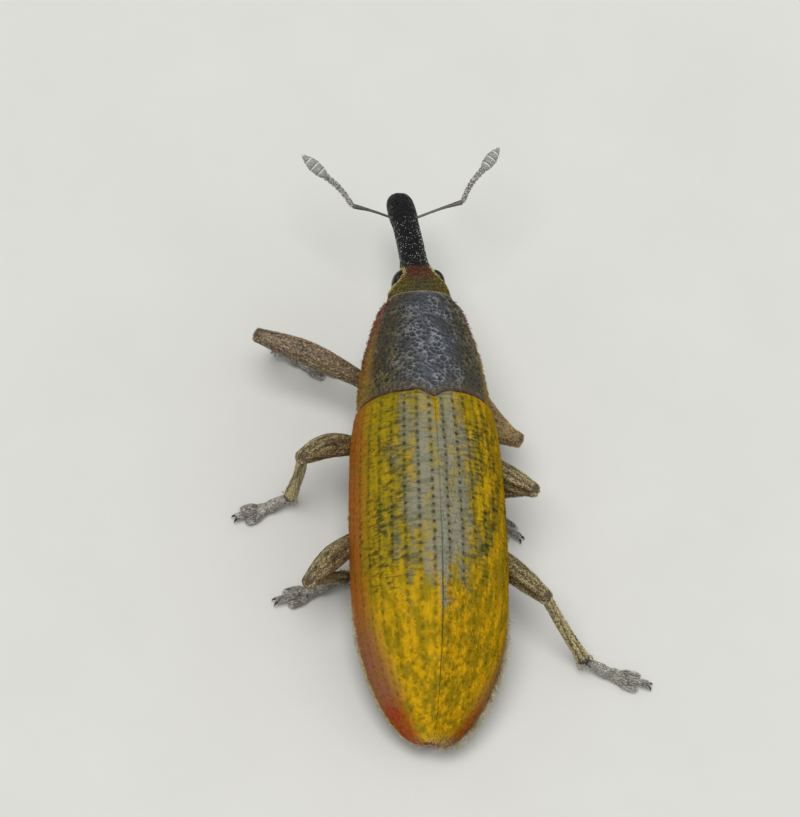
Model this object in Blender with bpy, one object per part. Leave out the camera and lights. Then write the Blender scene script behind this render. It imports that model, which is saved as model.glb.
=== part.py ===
"""An elongated bean weevil as a still, life-size model that stands on the floor.

Sizes are in millimetres until a mesh is finished, and then scaled to metres.
The body's own frame has its origin on the long axis at the base of the wing cases,
+Y to the head and +Z up. The stance frame has its origin on the floor below that point.
"""
import math

import bmesh
import bpy
from mathutils import Matrix, Vector

MM = 0.001
GAP = 0.2
FINE_GAP = 0.1
# Vertices nearer to each other than this are welded after a Boolean.
WELD = 0.0008

# How the body is held over the floor.
AXIS_HEIGHT = 3.2
BODY_PITCH = math.radians(8)
HEAD_TURN = math.radians(3.5)

# The trunk's section is a superellipse of this power.
SECTION_POWER = 2.2
# The trunk along its axis: station, half-width, top, widest level, wing-case edge, underside.
BODY_STATIONS = (
    (0.0, 2.02, 1.70, -0.10, -0.45, -1.72),
    (-1.0, 2.20, 1.88, -0.12, -0.51, -1.90),
    (-2.0, 2.27, 1.98, -0.15, -0.57, -1.96),
    (-3.6, 2.33, 2.02, -0.20, -0.66, -1.95),
    (-5.4, 2.33, 1.98, -0.28, -0.77, -1.90),
    (-7.2, 2.20, 1.62, -0.40, -0.88, -1.78),
    (-8.6, 1.80, 0.96, -0.55, -0.96, -1.58),
    (-9.5, 1.30, 0.34, -0.70, -1.02, -1.36),
    (-10.0, 0.86, -0.16, -0.80, -1.05, -1.22),
    (-10.2, 0.52, -0.46, -0.84, -1.06, -1.16),
    (-10.26, 0.32, -0.6, -0.85, -1.06, -1.14),
)
CASE_END = -10.26
CASE_THICKNESS = 0.5
CASE_TAIL_START = -9.7
CASE_TAIL = (-9.9, -10.08, -10.2, CASE_END)
# At the tail the two cases are nearly solid: the inner face's inset, and its slope to the outer one.
TAIL_INSET = 0.3
TAIL_SLOPE = 0.02
THINNEST_CORE = 0.04
THORAX_END = -3.3
ABDOMEN_END = -9.5
LOWER_INSET = 0.08

# The prothorax and head: station, half-width, top, widest level, underside.
PROTHORAX_STATIONS = (
    (0.0, 1.92, 1.64, -0.10, -1.66),
    (0.5, 1.91, 1.66, -0.10, -1.74),
    (1.4, 1.77, 1.60, -0.08, -1.72),
    (2.3, 1.52, 1.41, -0.02, -1.48),
    (3.1, 1.25, 1.15, 0.02, -1.14),
    (3.46, 0.98, 1.00, 0.02, -0.98),
)
HEAD_STATIONS = (
    (3.46, 0.94, 0.95, 0.02, -0.94),
    (3.85, 0.90, 0.90, 0.00, -0.92),
    (4.22, 0.73, 0.72, -0.06, -0.84),
    (4.56, 0.56, 0.48, -0.14, -0.72),
)
ROSTRUM_LENGTH = 3.3
ROSTRUM_ROOT = (4.56, -0.12)
ROSTRUM_DROP = (math.radians(14), math.radians(34))
ROSTRUM_RADII = ((0.0, 0.46), (0.15, 0.40), (0.6, 0.39), (0.75, 0.42), (0.93, 0.41), (1.0, 0.30))
ROSTRUM_RINGS = (0.0, 0.1, 0.25, 0.4, 0.55, 0.65, 0.75, 0.85, 0.95, 1.0)
ROSTRUM_FLATTENING = 0.95
EYE_PLACE = (0.6, 4.2, 0.06)
EYE_RADII = (0.22, 0.29, 0.40)
EYE_TURN = math.radians(26)

# The legs: coxa in the body's frame; knee, ankle and toe in the stance frame.
LEGS = {
    "front_left": ((-0.52, 1.05, -1.58), (-4.83, 2.70, 2.72), (-3.83, 3.62, 0.52), (-1.96, 2.92)),
    "front_right": ((0.52, 1.05, -1.58), (3.10, -0.30, 2.10), (2.33, 2.24, 0.52), (1.62, 4.18)),
    "middle_left": ((-0.9, -0.55, -1.66), (-3.80, -1.84, 3.34), (-3.72, -1.60, 0.52), (-5.44, -2.24)),
    "middle_right": ((0.9, -0.55, -1.66), (3.17, -2.64, 3.22), (1.93, -1.50, 0.52), (3.42, -2.71)),
    "hind_left": ((-1.1, -3.0, -1.7), (-3.72, -5.72, 2.80), (-2.22, -4.32, 0.52), (-4.36, -5.04)),
    "hind_right": ((1.1, -3.0, -1.7), (3.37, -6.04, 2.84), (4.92, -6.92, 0.52), (7.02, -7.58)),
}
COXA_RADII = ((-0.48, 0.16), (-0.38, 0.36), (-0.1, 0.5), (0.2, 0.46), (0.45, 0.3), (0.62, 0.27))
FEMUR_ROOT = 0.62
FEMUR_RADII = ((0.0, 0.27), (0.12, 0.29), (0.35, 0.36), (0.55, 0.40), (0.75, 0.37), (0.9, 0.30), (1.0, 0.25))
FEMUR_FLATTENING = 0.92
KNEE_OVERHANG = 0.12
LIMB_BOW = 0.05
# How far the middle of a femur is bent to the front, where it is.
FEMUR_FORWARD = {"front_left": 0.14, "middle_left": 0.26, "hind_left": 0.1}
TIBIA_ROOT = 0.16
TIBIA_RADII = ((0.0, 0.18), (0.1, 0.25), (0.5, 0.25), (0.85, 0.26), (1.0, 0.3))
TARSUS_ROOT = 0.12
SEGMENT_RADII = ((0.0, 0.13), (0.3, 0.2), (0.85, 0.27), (1.0, 0.2))
CLAW_SEGMENT_RADII = ((0.0, 0.14), (0.5, 0.13), (1.0, 0.17))
CLAW_RADII = ((0.0, 0.11), (0.5, 0.1), (1.0, 0.03))
# Along the foot: share of its length, height over the floor and distance from its middle line.
FIRST_SEGMENT_END = (0.38, 0.25)
SECOND_SEGMENT = ((0.28, 0.28), (0.56, 0.18))
CLAW_SEGMENT = ((0.58, 0.2), (0.94, 0.3))
LOBE_PLACE = (0.62, 0.13, 0.2)
LOBE_RADII = (0.21, 0.42, 0.2)
LOBE_SPLAY = math.radians(14)
CLAW_ROOT = (0.88, 0.28, 0.04)
CLAW_TIP = (1.04, 0.06, 0.22)

# The feelers in the stance frame: elbow, start and tip of the club.
FEELERS = {
    "left": ((-1.87, 6.80, 3.75), (-2.71, 7.69, 4.0), (-3.43, 8.29, 4.2)),
    "right": ((1.58, 7.10, 3.75), (2.26, 8.17, 4.0), (2.77, 8.85, 4.2)),
}
FEELER_ROOT_SHARE = 0.64
SCAPE_SINK = 0.05
SCAPE_RADII = ((0.0, 0.2), (0.12, 0.25), (0.9, 0.25), (1.0, 0.22))
SCAPE_END = 0.16
FUNICLE_START = 0.12
FUNICLE_BEADS = 7
FUNICLE_ROOT_RADIUS = 0.21
FIRST_BEAD_RADIUS = 0.28
BEAD_RADIUS = 0.265
BEAD_NECK_RADIUS = 0.235
CLUB_RADII = ((0.0, 0.2), (0.2, 0.26), (0.5, 0.28), (0.8, 0.19), (1.0, 0.05))

COLOURS = {
    "prothorax": ("3A3834", 0.55),
    "head": ("5A4A26", 0.6),
    "rostrum": ("17161A", 0.4),
    "eye": ("120C0B", 0.15),
    "elytron": ("A8841E", 0.55),
    "underside": ("5C5138", 0.6),
    "leg": ("7A6554", 0.7),
    "feeler": ("6E6A62", 0.6),
}

STANCE = Matrix.Translation((0, 0, AXIS_HEIGHT)) @ Matrix.Rotation(BODY_PITCH, 4, "X")
HEAD_PIVOT = Vector((0, PROTHORAX_STATIONS[-1][0], 0))
HEAD_STANCE = (
    STANCE
    @ Matrix.Translation(HEAD_PIVOT)
    @ Matrix.Rotation(HEAD_TURN, 4, "Z")
    @ Matrix.Translation(-HEAD_PIVOT)
)


def along(table, place):
    """The row of a table at a place, on a smooth curve through its stations."""
    rows = sorted(table)
    place = min(max(place, rows[0][0]), rows[-1][0])
    last = len(rows) - 1
    i = max(k for k in range(last) if rows[k][0] <= place or k == 0)
    before, start, end, after = rows[max(i - 1, 0)], rows[i], rows[i + 1], rows[min(i + 2, last)]
    span = end[0] - start[0]
    t = (place - start[0]) / span
    values = []
    for p, a, b, n in zip(before[1:], start[1:], end[1:], after[1:]):
        slope_a = (b - p) / (end[0] - before[0]) * span
        slope_b = (n - a) / (after[0] - start[0]) * span
        values.append(
            (2 * t**3 - 3 * t**2 + 1) * a
            + (t**3 - 2 * t**2 + t) * slope_a
            + (3 * t**2 - 2 * t**3) * b
            + (t**3 - t**2) * slope_b
        )
    return values


def steps(start, end, count):
    return [start + (end - start) * i / count for i in range(count + 1)]


def loft(rings):
    """A closed mesh through rings of points: a capped circle, extruded from ring to ring."""
    bm = bmesh.new()
    made = bmesh.ops.create_circle(bm, cap_ends=True, segments=len(rings[0]), radius=1)
    for vert, point in zip(made["verts"], rings[0]):
        vert.co = point
    face = bm.faces[:][0]
    order = [made["verts"].index(v) for v in face.verts]
    for ring in rings[1:]:
        grown = bmesh.ops.extrude_face_region(bm, geom=[face])
        if ring is not rings[1]:
            bm.faces.remove(face)
        face = next(g for g in grown["geom"] if isinstance(g, bmesh.types.BMFace))
        for vert, index in zip(face.verts, order):
            vert.co = ring[index]
    bmesh.ops.recalc_face_normals(bm, faces=bm.faces[:])
    return bm


def oval(angle):
    """A point of a superellipse of radius 1."""
    c, s = math.cos(angle), math.sin(angle)
    share = 2 / SECTION_POWER
    return math.copysign(abs(c) ** share, c), math.copysign(abs(s) ** share, s)


def oval_angle(rise):
    """The angle at which that superellipse has a given height."""
    return math.asin(min(rise, 1) ** (SECTION_POWER / 2))


def trunk_ring(y, half_width, top, level, bottom, sides):
    ring = []
    for i in range(sides):
        across, up = oval(2 * math.pi * i / sides)
        rise = top - level if up > 0 else level - bottom
        ring.append(Vector((half_width * across, y, level + up * rise)))
    return ring


def tube(start, end, radii, sides, grow=0.0, bow=0.0, sideways=0.0, flatten=1.0):
    """A limb piece round the line from start to end, with its radii by share of the length.

    bow lifts its middle, and sideways moves it along the horizontal side direction.
    """
    start, end = Vector(start), Vector(end)
    axis = end - start
    length = axis.length
    axis.normalize()
    side = axis.cross(Vector((0, 0, 1)) if abs(axis.z) < 0.95 else Vector((0, 1, 0))).normalized()
    up = side.cross(axis)
    shares = sorted({row[0] for row in radii} | set(steps(0, 1, 5) if length > 1.5 else ()))
    rings = []
    for share in shares:
        radius = along(radii, share)[0] + grow
        stretch = grow * (-1 if share == shares[0] else 1 if share == shares[-1] else 0)
        bent = (up * bow + side * sideways) * math.sin(math.pi * share)
        centre = start + axis * (length * share + stretch) + bent
        rings.append(
            [
                centre + side * (radius * flatten * math.cos(a)) + up * (radius * math.sin(a))
                for a in (2 * math.pi * k / sides for k in range(sides))
            ]
        )
    return loft(rings)


def ball(place, radii, turn=Matrix(), u=12, v=8, grow=0.0):
    bm = bmesh.new()
    bmesh.ops.create_uvsphere(bm, u_segments=u, v_segments=v, radius=1)
    size = Matrix.Diagonal((radii[0] + grow, radii[1] + grow, radii[2] + grow, 1))
    bmesh.ops.transform(bm, matrix=Matrix.Translation(place) @ turn @ size, verts=bm.verts)
    return bm


def moved(bm, matrix):
    bmesh.ops.transform(bm, matrix=matrix, verts=bm.verts)
    return bm


def helper(name, bm):
    mesh = bpy.data.meshes.new(name)
    bm.to_mesh(mesh)
    bm.free()
    obj = bpy.data.objects.new(name, mesh)
    obj.hide_render = True
    obj.display_type = "WIRE"
    return obj


def combined(bm, others, operation):
    """The mesh after one Boolean with a collection of closed meshes, and only its largest surface."""
    target = helper("target", bm)
    bpy.context.scene.collection.objects.link(target)
    group = bpy.data.collections.new("others")
    bpy.context.scene.collection.children.link(group)
    for other in others:
        group.objects.link(helper("other", other))
    modifier = target.modifiers.new("join", "BOOLEAN")
    modifier.operation = operation
    modifier.solver = "EXACT"
    modifier.operand_type = "COLLECTION"
    modifier.collection = group
    bpy.context.view_layer.update()
    made = bmesh.new()
    made.from_mesh(target.evaluated_get(bpy.context.evaluated_depsgraph_get()).to_mesh())
    for obj in list(group.objects) + [target]:
        bpy.data.objects.remove(obj)
    bpy.data.collections.remove(group)
    return largest_surface(made)


def largest_surface(bm):
    bmesh.ops.remove_doubles(bm, verts=bm.verts[:], dist=WELD)
    bmesh.ops.dissolve_degenerate(bm, edges=bm.edges[:], dist=WELD)
    left = set(bm.faces)
    surfaces = []
    while left:
        front = [left.pop()]
        surface = set(front)
        while front:
            face = front.pop()
            for neighbour in (f for e in face.edges for f in e.link_faces if f in left):
                left.discard(neighbour)
                surface.add(neighbour)
                front.append(neighbour)
        surfaces.append(surface)
    keep = max(surfaces, key=lambda surface: sum(f.calc_area() for f in surface))
    bmesh.ops.delete(bm, geom=[f for f in bm.faces if f not in keep], context="FACES")
    return bm


def material(kind):
    name = "weevil_" + kind
    if name in bpy.data.materials:
        return bpy.data.materials[name]
    made = bpy.data.materials.new(name)
    made.use_nodes = True
    shader = made.node_tree.nodes["Principled BSDF"]
    colour, roughness = COLOURS[kind]
    channels = [int(colour[i : i + 2], 16) / 255 for i in (0, 2, 4)]
    shader.inputs["Base Color"].default_value = [c**2.2 for c in channels] + [1]
    shader.inputs["Roughness"].default_value = roughness
    shader.inputs["Metallic"].default_value = 0.0
    return made


def node(name, bm, kind, origin, parent):
    """The finished object, in metres, with its origin at its own root."""
    bmesh.ops.triangulate(bm, faces=bm.faces[:])
    origin = Vector(origin)
    moved(bm, Matrix.Scale(MM, 4) @ Matrix.Translation(-origin))
    mesh = bpy.data.meshes.new(name)
    bm.to_mesh(mesh)
    bm.free()
    mesh.shade_smooth()
    mesh.set_sharp_from_angle(angle=math.radians(40))
    mesh.materials.append(material(kind))
    obj = bpy.data.objects.new(name, mesh)
    obj.location = origin * MM
    obj.parent = parent
    bpy.context.scene.collection.objects.link(obj)
    return obj


def arch(y, inset, side, count):
    """From the top seam down the flank to the wing case's edge, on the trunk's section less an inset."""
    half_width, top, level, edge, bottom = along(BODY_STATIONS, y)
    half_width = max(half_width - inset, THINNEST_CORE)
    rise = max(top - level - inset, THINNEST_CORE)
    flank = oval_angle((level - edge) / (level - bottom))
    points = []
    for angle in steps(math.pi / 2, -flank, count):
        across, up = oval(angle)
        x = max(half_width * across, FINE_GAP / 2)
        points.append(Vector((side * x, y, level + up * (rise if up > 0 else level - bottom))))
    return points


def wing_case(side, rows=16, count=9):
    """A curved shell over one half of the trunk, nearly solid at its tail."""
    rings = []
    for y in steps(-GAP / 2, CASE_TAIL_START, rows) + list(CASE_TAIL):
        outer = arch(y, 0, side, count)
        inner = arch(y, CASE_THICKNESS, side, count)
        if y < ABDOMEN_END:
            inner = [Vector((side * FINE_GAP / 2, y, p.z)) for p in arch(y, TAIL_INSET, side, count)]
            inner = [p + (o - p) * TAIL_SLOPE * k for k, (p, o) in enumerate(zip(inner, outer))]
        rings.append(outer + inner[::-1])
    return moved(loft(rings), STANCE)


def trunk_piece(start, end, count, sides=5):
    """A length of the trunk: narrow under the wing cases' arch, full width below their edge."""
    inset = CASE_THICKNESS + GAP
    rings = []
    for y in steps(start, end, count):
        half_width, top, level, edge, bottom = along(BODY_STATIONS, y)
        core = arch(y, inset, 1, sides)[1:]
        core = [Vector((min(p.x, half_width - inset), y, max(p.z, edge - GAP))) for p in core]
        flank = oval_angle(min((level - edge + GAP) / (level - bottom), 0.98))
        lower = []
        for angle in steps(-flank, -math.pi / 2, sides):
            across, up = oval(angle)
            lower.append(Vector(((half_width - LOWER_INSET) * across, y, level + up * (level - bottom))))
        right = core + lower[:-1]
        left = [Vector((-p.x, p.y, p.z)) for p in reversed(right)]
        rings.append([Vector((0, y, top - inset))] + right + [lower[-1]] + left)
    return moved(loft(rings), STANCE)


def trunk_lofted(stations, start, end, count, sides, matrix):
    rings = [trunk_ring(y, *along(stations, y), sides) for y in steps(start, end, count)]
    return moved(loft(rings), matrix)


def rostrum_point(share):
    """A point on the snout's curved axis, in the body's frame, and its direction there."""
    y, z = ROSTRUM_ROOT
    count = 20
    for i in range(round(share * count)):
        drop = ROSTRUM_DROP[0] + (ROSTRUM_DROP[1] - ROSTRUM_DROP[0]) * (i + 0.5) / count
        y += math.cos(drop) * ROSTRUM_LENGTH / count
        z -= math.sin(drop) * ROSTRUM_LENGTH / count
    drop = ROSTRUM_DROP[0] + (ROSTRUM_DROP[1] - ROSTRUM_DROP[0]) * share
    return Vector((0, y, z)), Vector((0, math.cos(drop), -math.sin(drop)))


def rostrum_mesh(sides=14):
    rings = []
    for share in ROSTRUM_RINGS:
        centre, ahead = rostrum_point(share)
        if share == 0:
            centre = centre + ahead * GAP
        up = Vector((1, 0, 0)).cross(ahead)
        radius = along(ROSTRUM_RADII, share)[0]
        rings.append(
            [
                centre
                + Vector((radius * math.cos(a), 0, 0))
                + up * (radius * ROSTRUM_FLATTENING * math.sin(a))
                for a in (2 * math.pi * k / sides for k in range(sides))
            ]
        )
    return moved(loft(rings), HEAD_STANCE)


def toward(start, end, distance):
    start, end = Vector(start), Vector(end)
    return start + (end - start).normalized() * distance


class Leg:
    """The joints of one leg and its pieces, each of which can be grown into a cutter."""

    def __init__(self, name):
        self.name = name
        coxa, knee, ankle, toe = LEGS[name]
        self.coxa = STANCE @ Vector(coxa)
        self.knee, self.ankle = Vector(knee), Vector(ankle)
        self.toe = Vector((toe[0], toe[1], 0))

    def coxa_mesh(self, grow=0.0):
        reach = COXA_RADII[-1][0] - COXA_RADII[0][0]
        start = toward(self.coxa, self.knee, COXA_RADII[0][0])
        shares = [((at - COXA_RADII[0][0]) / reach, radius) for at, radius in COXA_RADII]
        return tube(start, toward(start, self.knee, reach), shares, 12, grow)

    def femur_mesh(self, grow=0.0):
        start = toward(self.coxa, self.knee, FEMUR_ROOT + GAP)
        end = toward(self.knee, self.coxa, -KNEE_OVERHANG)
        forward = FEMUR_FORWARD.get(self.name, 0.0)
        return tube(start, end, FEMUR_RADII, 12, grow, LIMB_BOW, forward, FEMUR_FLATTENING)

    def tibia_mesh(self, grow=0.0):
        root = toward(self.knee, self.ankle, TIBIA_ROOT)
        return tube(root, self.ankle, TIBIA_RADII, 10, grow, LIMB_BOW)

    def tarsus_pieces(self, grow=0.0):
        """Two short segments, a split third one, the claw segment and two claws, with flat soles."""
        root = toward(self.ankle, self.toe, TARSUS_ROOT)
        flat = Vector((self.toe.x - root.x, self.toe.y - root.y, 0))
        length = flat.length
        flat.normalize()
        side = flat.cross(Vector((0, 0, 1)))
        turn = Matrix.Rotation(math.atan2(-flat.x, flat.y), 4, "Z")

        def spot(share, height, across=0.0):
            return Vector((root.x, root.y, height)) + flat * (length * share) + side * across

        pieces = [
            tube(root, spot(*FIRST_SEGMENT_END), SEGMENT_RADII, 8, grow),
            tube(spot(*SECOND_SEGMENT[0]), spot(*SECOND_SEGMENT[1]), SEGMENT_RADII, 8, grow),
            tube(spot(*CLAW_SEGMENT[0]), spot(*CLAW_SEGMENT[1]), CLAW_SEGMENT_RADII, 8, grow),
        ]

        def mirrored(place, hand):
            return spot(*place[:2], hand * place[2])

        for hand in (-1, 1):
            lobe_turn = turn @ Matrix.Rotation(-hand * LOBE_SPLAY, 4, "Z")
            pieces.append(ball(mirrored(LOBE_PLACE, hand), LOBE_RADII, lobe_turn, 10, 6, grow))
            ends = mirrored(CLAW_ROOT, hand), mirrored(CLAW_TIP, hand)
            pieces.append(tube(*ends, CLAW_RADII, 6, grow))
        return pieces

    def tarsus_mesh(self, grow=0.0):
        pieces = self.tarsus_pieces(grow)
        bm = combined(pieces[0], pieces[1:], "UNION")
        if not grow:
            level_with_floor(bm)
        return bm


def level_with_floor(bm):
    """Cuts what is under the floor off and closes the sole."""
    cut = bmesh.ops.bisect_plane(
        bm,
        geom=bm.verts[:] + bm.edges[:] + bm.faces[:],
        dist=0.001,
        plane_co=(0, 0, 0),
        plane_no=(0, 0, 1),
        clear_inner=True,
    )
    rim = [g for g in cut["geom_cut"] if isinstance(g, bmesh.types.BMEdge)]
    bmesh.ops.contextual_create(bm, geom=rim)
    bmesh.ops.holes_fill(bm, edges=[e for e in bm.edges if e.is_boundary])
    bmesh.ops.recalc_face_normals(bm, faces=bm.faces[:])


class Feeler:
    """The joints of one feeler and its three pieces."""

    def __init__(self, name):
        self.elbow, self.club, self.tip = (Vector(p) for p in FEELERS[name])
        centre = HEAD_STANCE @ rostrum_point(FEELER_ROOT_SHARE)[0]
        depth = along(ROSTRUM_RADII, FEELER_ROOT_SHARE)[0] - SCAPE_SINK
        self.root = toward(centre, self.elbow, depth)

    def scape_mesh(self, grow=0.0):
        return tube(self.root, toward(self.elbow, self.root, SCAPE_END), SCAPE_RADII, 8, grow)

    def funicle_mesh(self, grow=0.0):
        start = toward(self.elbow, self.club, FUNICLE_START)
        radii = [(0.0, FUNICLE_ROOT_RADIUS)]
        for bead in range(FUNICLE_BEADS):
            radii.append(((bead + 0.55) / FUNICLE_BEADS, BEAD_RADIUS if bead else FIRST_BEAD_RADIUS))
            radii.append(((bead + 1) / FUNICLE_BEADS, BEAD_NECK_RADIUS))
        return tube(start, toward(self.club, start, FINE_GAP), radii, 8, grow)

    def club_mesh(self, grow=0.0):
        return tube(self.club, self.tip, CLUB_RADII, 8, grow)


def centred_on_floor(stance, nodes):
    """Moves the stance so that the middle of the object's box stands over the origin."""
    bpy.context.view_layer.update()
    corners = [o.matrix_world @ v.co for o in nodes for v in o.data.vertices]
    for axis in (0, 1):
        values = [c[axis] for c in corners]
        stance.location[axis] = -(min(values) + max(values)) / 2


def build():
    for obj in list(bpy.data.objects):
        bpy.data.objects.remove(obj)
    stance = bpy.data.objects.new("stance", None)
    bpy.context.scene.collection.objects.link(stance)
    legs = {name: Leg(name) for name in LEGS}
    feelers = {name: Feeler(name) for name in FEELERS}
    nodes = []

    def trunk_node(name, bm, kind, y):
        cutters = [mesh(GAP) for leg in legs.values() for mesh in (leg.coxa_mesh, leg.femur_mesh)]
        bm = combined(bm, cutters, "DIFFERENCE")
        nodes.append(node(name, bm, kind, STANCE @ Vector((0, y, 0)), stance))

    front = PROTHORAX_STATIONS[-1][0]
    prothorax = trunk_lofted(PROTHORAX_STATIONS, GAP / 2, front, 9, 24, STANCE)
    trunk_node("prothorax", prothorax, "prothorax", 0)
    trunk_node("thorax", trunk_piece(-GAP / 2, THORAX_END, 5), "underside", 0)
    trunk_node("abdomen", trunk_piece(THORAX_END - GAP, ABDOMEN_END, 10), "underside", THORAX_END)
    for side, name in ((-1, "elytron_left"), (1, "elytron_right")):
        trunk_node(name, wing_case(side), "elytron", 0)

    def eye(side, grow=0.0):
        x, y, z = EYE_PLACE
        turn = Matrix.Rotation(side * EYE_TURN, 4, "Z")
        return moved(ball((side * x, y, z), EYE_RADII, turn, 12, 8, grow), HEAD_STANCE)

    head = trunk_lofted(HEAD_STATIONS, front + GAP, HEAD_STATIONS[-1][0], 6, 20, HEAD_STANCE)
    head = combined(head, [eye(-1, FINE_GAP), eye(1, FINE_GAP)], "DIFFERENCE")
    nodes.append(node("head", head, "head", HEAD_STANCE @ Vector((0, front, 0)), stance))
    for side, name in ((-1, "eye_left"), (1, "eye_right")):
        place = HEAD_STANCE @ Vector((side * EYE_PLACE[0], *EYE_PLACE[1:]))
        nodes.append(node(name, eye(side), "eye", place, stance))
    rostrum = combined(rostrum_mesh(), [f.scape_mesh(FINE_GAP) for f in feelers.values()], "DIFFERENCE")
    nodes.append(node("rostrum", rostrum, "rostrum", HEAD_STANCE @ rostrum_point(0)[0], stance))

    for name, feeler in feelers.items():
        scape = combined(feeler.scape_mesh(), [feeler.funicle_mesh(FINE_GAP)], "DIFFERENCE")
        nodes.append(node("scape_" + name, scape, "feeler", feeler.root, stance))
        nodes.append(node("funicle_" + name, feeler.funicle_mesh(), "feeler", feeler.elbow, stance))
        nodes.append(node("club_" + name, feeler.club_mesh(), "feeler", feeler.club, stance))

    for name, leg in legs.items():
        nodes.append(node("coxa_" + name, leg.coxa_mesh(), "leg", leg.coxa, stance))
        femur = combined(leg.femur_mesh(), [leg.tibia_mesh(GAP)], "DIFFERENCE")
        nodes.append(node("femur_" + name, femur, "leg", leg.coxa, stance))
        tibia = combined(leg.tibia_mesh(), leg.tarsus_pieces(FINE_GAP), "DIFFERENCE")
        nodes.append(node("tibia_" + name, tibia, "leg", leg.knee, stance))
        nodes.append(node("tarsus_" + name, leg.tarsus_mesh(), "leg", leg.ankle, stance))
    centred_on_floor(stance, nodes)


build()
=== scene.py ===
"""The looks of a slender, long-snouted weevil, 15 mm long, standing on a pale floor.

Sizes are in millimetres in the functions and tables, and a finished mesh is in metres.
The body's own frame has its origin on the long axis at the base of the wing cases, with
+Y to the head. The stance frame has its origin on the floor under that point.
"""
import math
from types import SimpleNamespace

import bmesh
import bpy
import numpy as np
from mathutils import Matrix, Vector, noise


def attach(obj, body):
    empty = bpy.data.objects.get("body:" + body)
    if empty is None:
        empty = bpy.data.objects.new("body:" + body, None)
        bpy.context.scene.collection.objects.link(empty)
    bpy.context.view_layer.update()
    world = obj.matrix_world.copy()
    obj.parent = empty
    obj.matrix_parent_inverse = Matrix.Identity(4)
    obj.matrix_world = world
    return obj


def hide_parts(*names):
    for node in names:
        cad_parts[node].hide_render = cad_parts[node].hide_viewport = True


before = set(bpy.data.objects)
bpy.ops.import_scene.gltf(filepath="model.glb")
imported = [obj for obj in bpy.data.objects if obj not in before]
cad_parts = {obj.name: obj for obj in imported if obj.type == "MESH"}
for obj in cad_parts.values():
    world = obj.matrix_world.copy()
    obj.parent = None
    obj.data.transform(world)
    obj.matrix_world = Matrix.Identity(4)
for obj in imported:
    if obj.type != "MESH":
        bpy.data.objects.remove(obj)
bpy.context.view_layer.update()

MM = 0.001

# How the animal stands in the frame, and how its body is held.
STANCE_PLACE = (-0.790, 0.598)
AXIS_HEIGHT = 3.2
BODY_PITCH = math.radians(8)
HEAD_TURN = math.radians(3.5)

# The trunk: station, half-width, top, widest level, wing-case edge, underside.
BODY_STATIONS = (
    (0.0, 2.02, 1.70, -0.10, -0.45, -1.72),
    (-1.0, 2.20, 1.88, -0.12, -0.51, -1.90),
    (-2.0, 2.27, 1.98, -0.15, -0.57, -1.96),
    (-3.6, 2.33, 2.02, -0.20, -0.66, -1.95),
    (-5.4, 2.33, 1.98, -0.28, -0.77, -1.90),
    (-7.2, 2.20, 1.62, -0.40, -0.88, -1.78),
    (-8.6, 1.80, 0.96, -0.55, -0.96, -1.58),
    (-9.5, 1.30, 0.34, -0.70, -1.02, -1.36),
    (-10.0, 0.86, -0.16, -0.80, -1.05, -1.22),
    (-10.2, 0.52, -0.46, -0.84, -1.06, -1.16),
    (-10.26, 0.32, -0.6, -0.85, -1.06, -1.14),
)
CASE_END = -10.25
UNDERSIDE_END = -9.9
THORAX_END = -3.3
SEGMENT_ENDS = (THORAX_END, -1.75, -4.9, -6.4, -7.4, -8.4)

# The prothorax: station, half-width, top, widest level, underside.
PROTHORAX_STATIONS = (
    (0.0, 1.92, 1.64, -0.10, -1.66),
    (0.5, 1.91, 1.66, -0.10, -1.74),
    (1.4, 1.77, 1.60, -0.08, -1.72),
    (2.3, 1.52, 1.41, -0.02, -1.48),
    (3.1, 1.25, 1.15, 0.02, -1.14),
    (3.46, 0.98, 1.00, 0.02, -0.98),
)
# Its length, and about half its width.
PROTHORAX_LENGTH = 3.46
PROTHORAX_HALF = 1.9

# The head and snout along one axis: distance from the head's hidden back, half-width, up, down.
HEAD_BACK = 3.2
HEAD_STATIONS = (
    (0.0, 0.88, 0.90, 0.88),
    (0.28, 0.93, 0.94, 0.92),
    (0.62, 0.89, 0.90, 0.92),
    (0.98, 0.69, 0.72, 0.78),
    (1.28, 0.53, 0.54, 0.60),
    (1.5, 0.45, 0.45, 0.48),
    (1.9, 0.42, 0.39, 0.41),
    (3.3, 0.41, 0.36, 0.38),
    (3.75, 0.43, 0.37, 0.37),
    (4.35, 0.41, 0.36, 0.35),
    (4.62, 0.33, 0.28, 0.27),
    (4.66, 0.28, 0.22, 0.22),
)
SNOUT_START = 1.36
SNOUT_DROP = (math.radians(14), math.radians(34))
SNOUT_LENGTH = 3.3
EYE_PLACE = (0.59, 4.2, 0.08)
EYE_RADII = (0.18, 0.33, 0.40)
EYE_TURN = math.radians(30)
EYE_LEAN = math.radians(8)

# The legs: coxa in the body's frame; knee, ankle and toe in the stance frame.
LEGS = {
    "front_left": ((-0.52, 1.05, -1.58), (-4.83, 2.70, 2.72), (-3.83, 3.62, 0.52), (-1.96, 2.92)),
    "front_right": ((0.52, 1.05, -1.58), (3.10, -0.30, 2.10), (2.33, 2.24, 0.52), (1.62, 4.18)),
    "middle_left": ((-0.9, -0.55, -1.66), (-3.80, -1.84, 3.34), (-3.72, -1.60, 0.52), (-5.44, -2.24)),
    "middle_right": ((0.9, -0.55, -1.66), (3.17, -2.64, 3.22), (1.93, -1.50, 0.52), (3.42, -2.71)),
    "hind_left": ((-1.1, -3.0, -1.7), (-3.72, -5.72, 2.80), (-2.22, -4.32, 0.52), (-4.36, -5.04)),
    "hind_right": ((1.1, -3.0, -1.7), (3.37, -6.04, 2.84), (4.92, -6.92, 0.52), (7.02, -7.58)),
}
# How far the middle of a femur is bent to the front, where it is.
FEMUR_FORWARD = {"front_left": 0.14, "middle_left": 0.26, "hind_left": 0.1}
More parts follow.
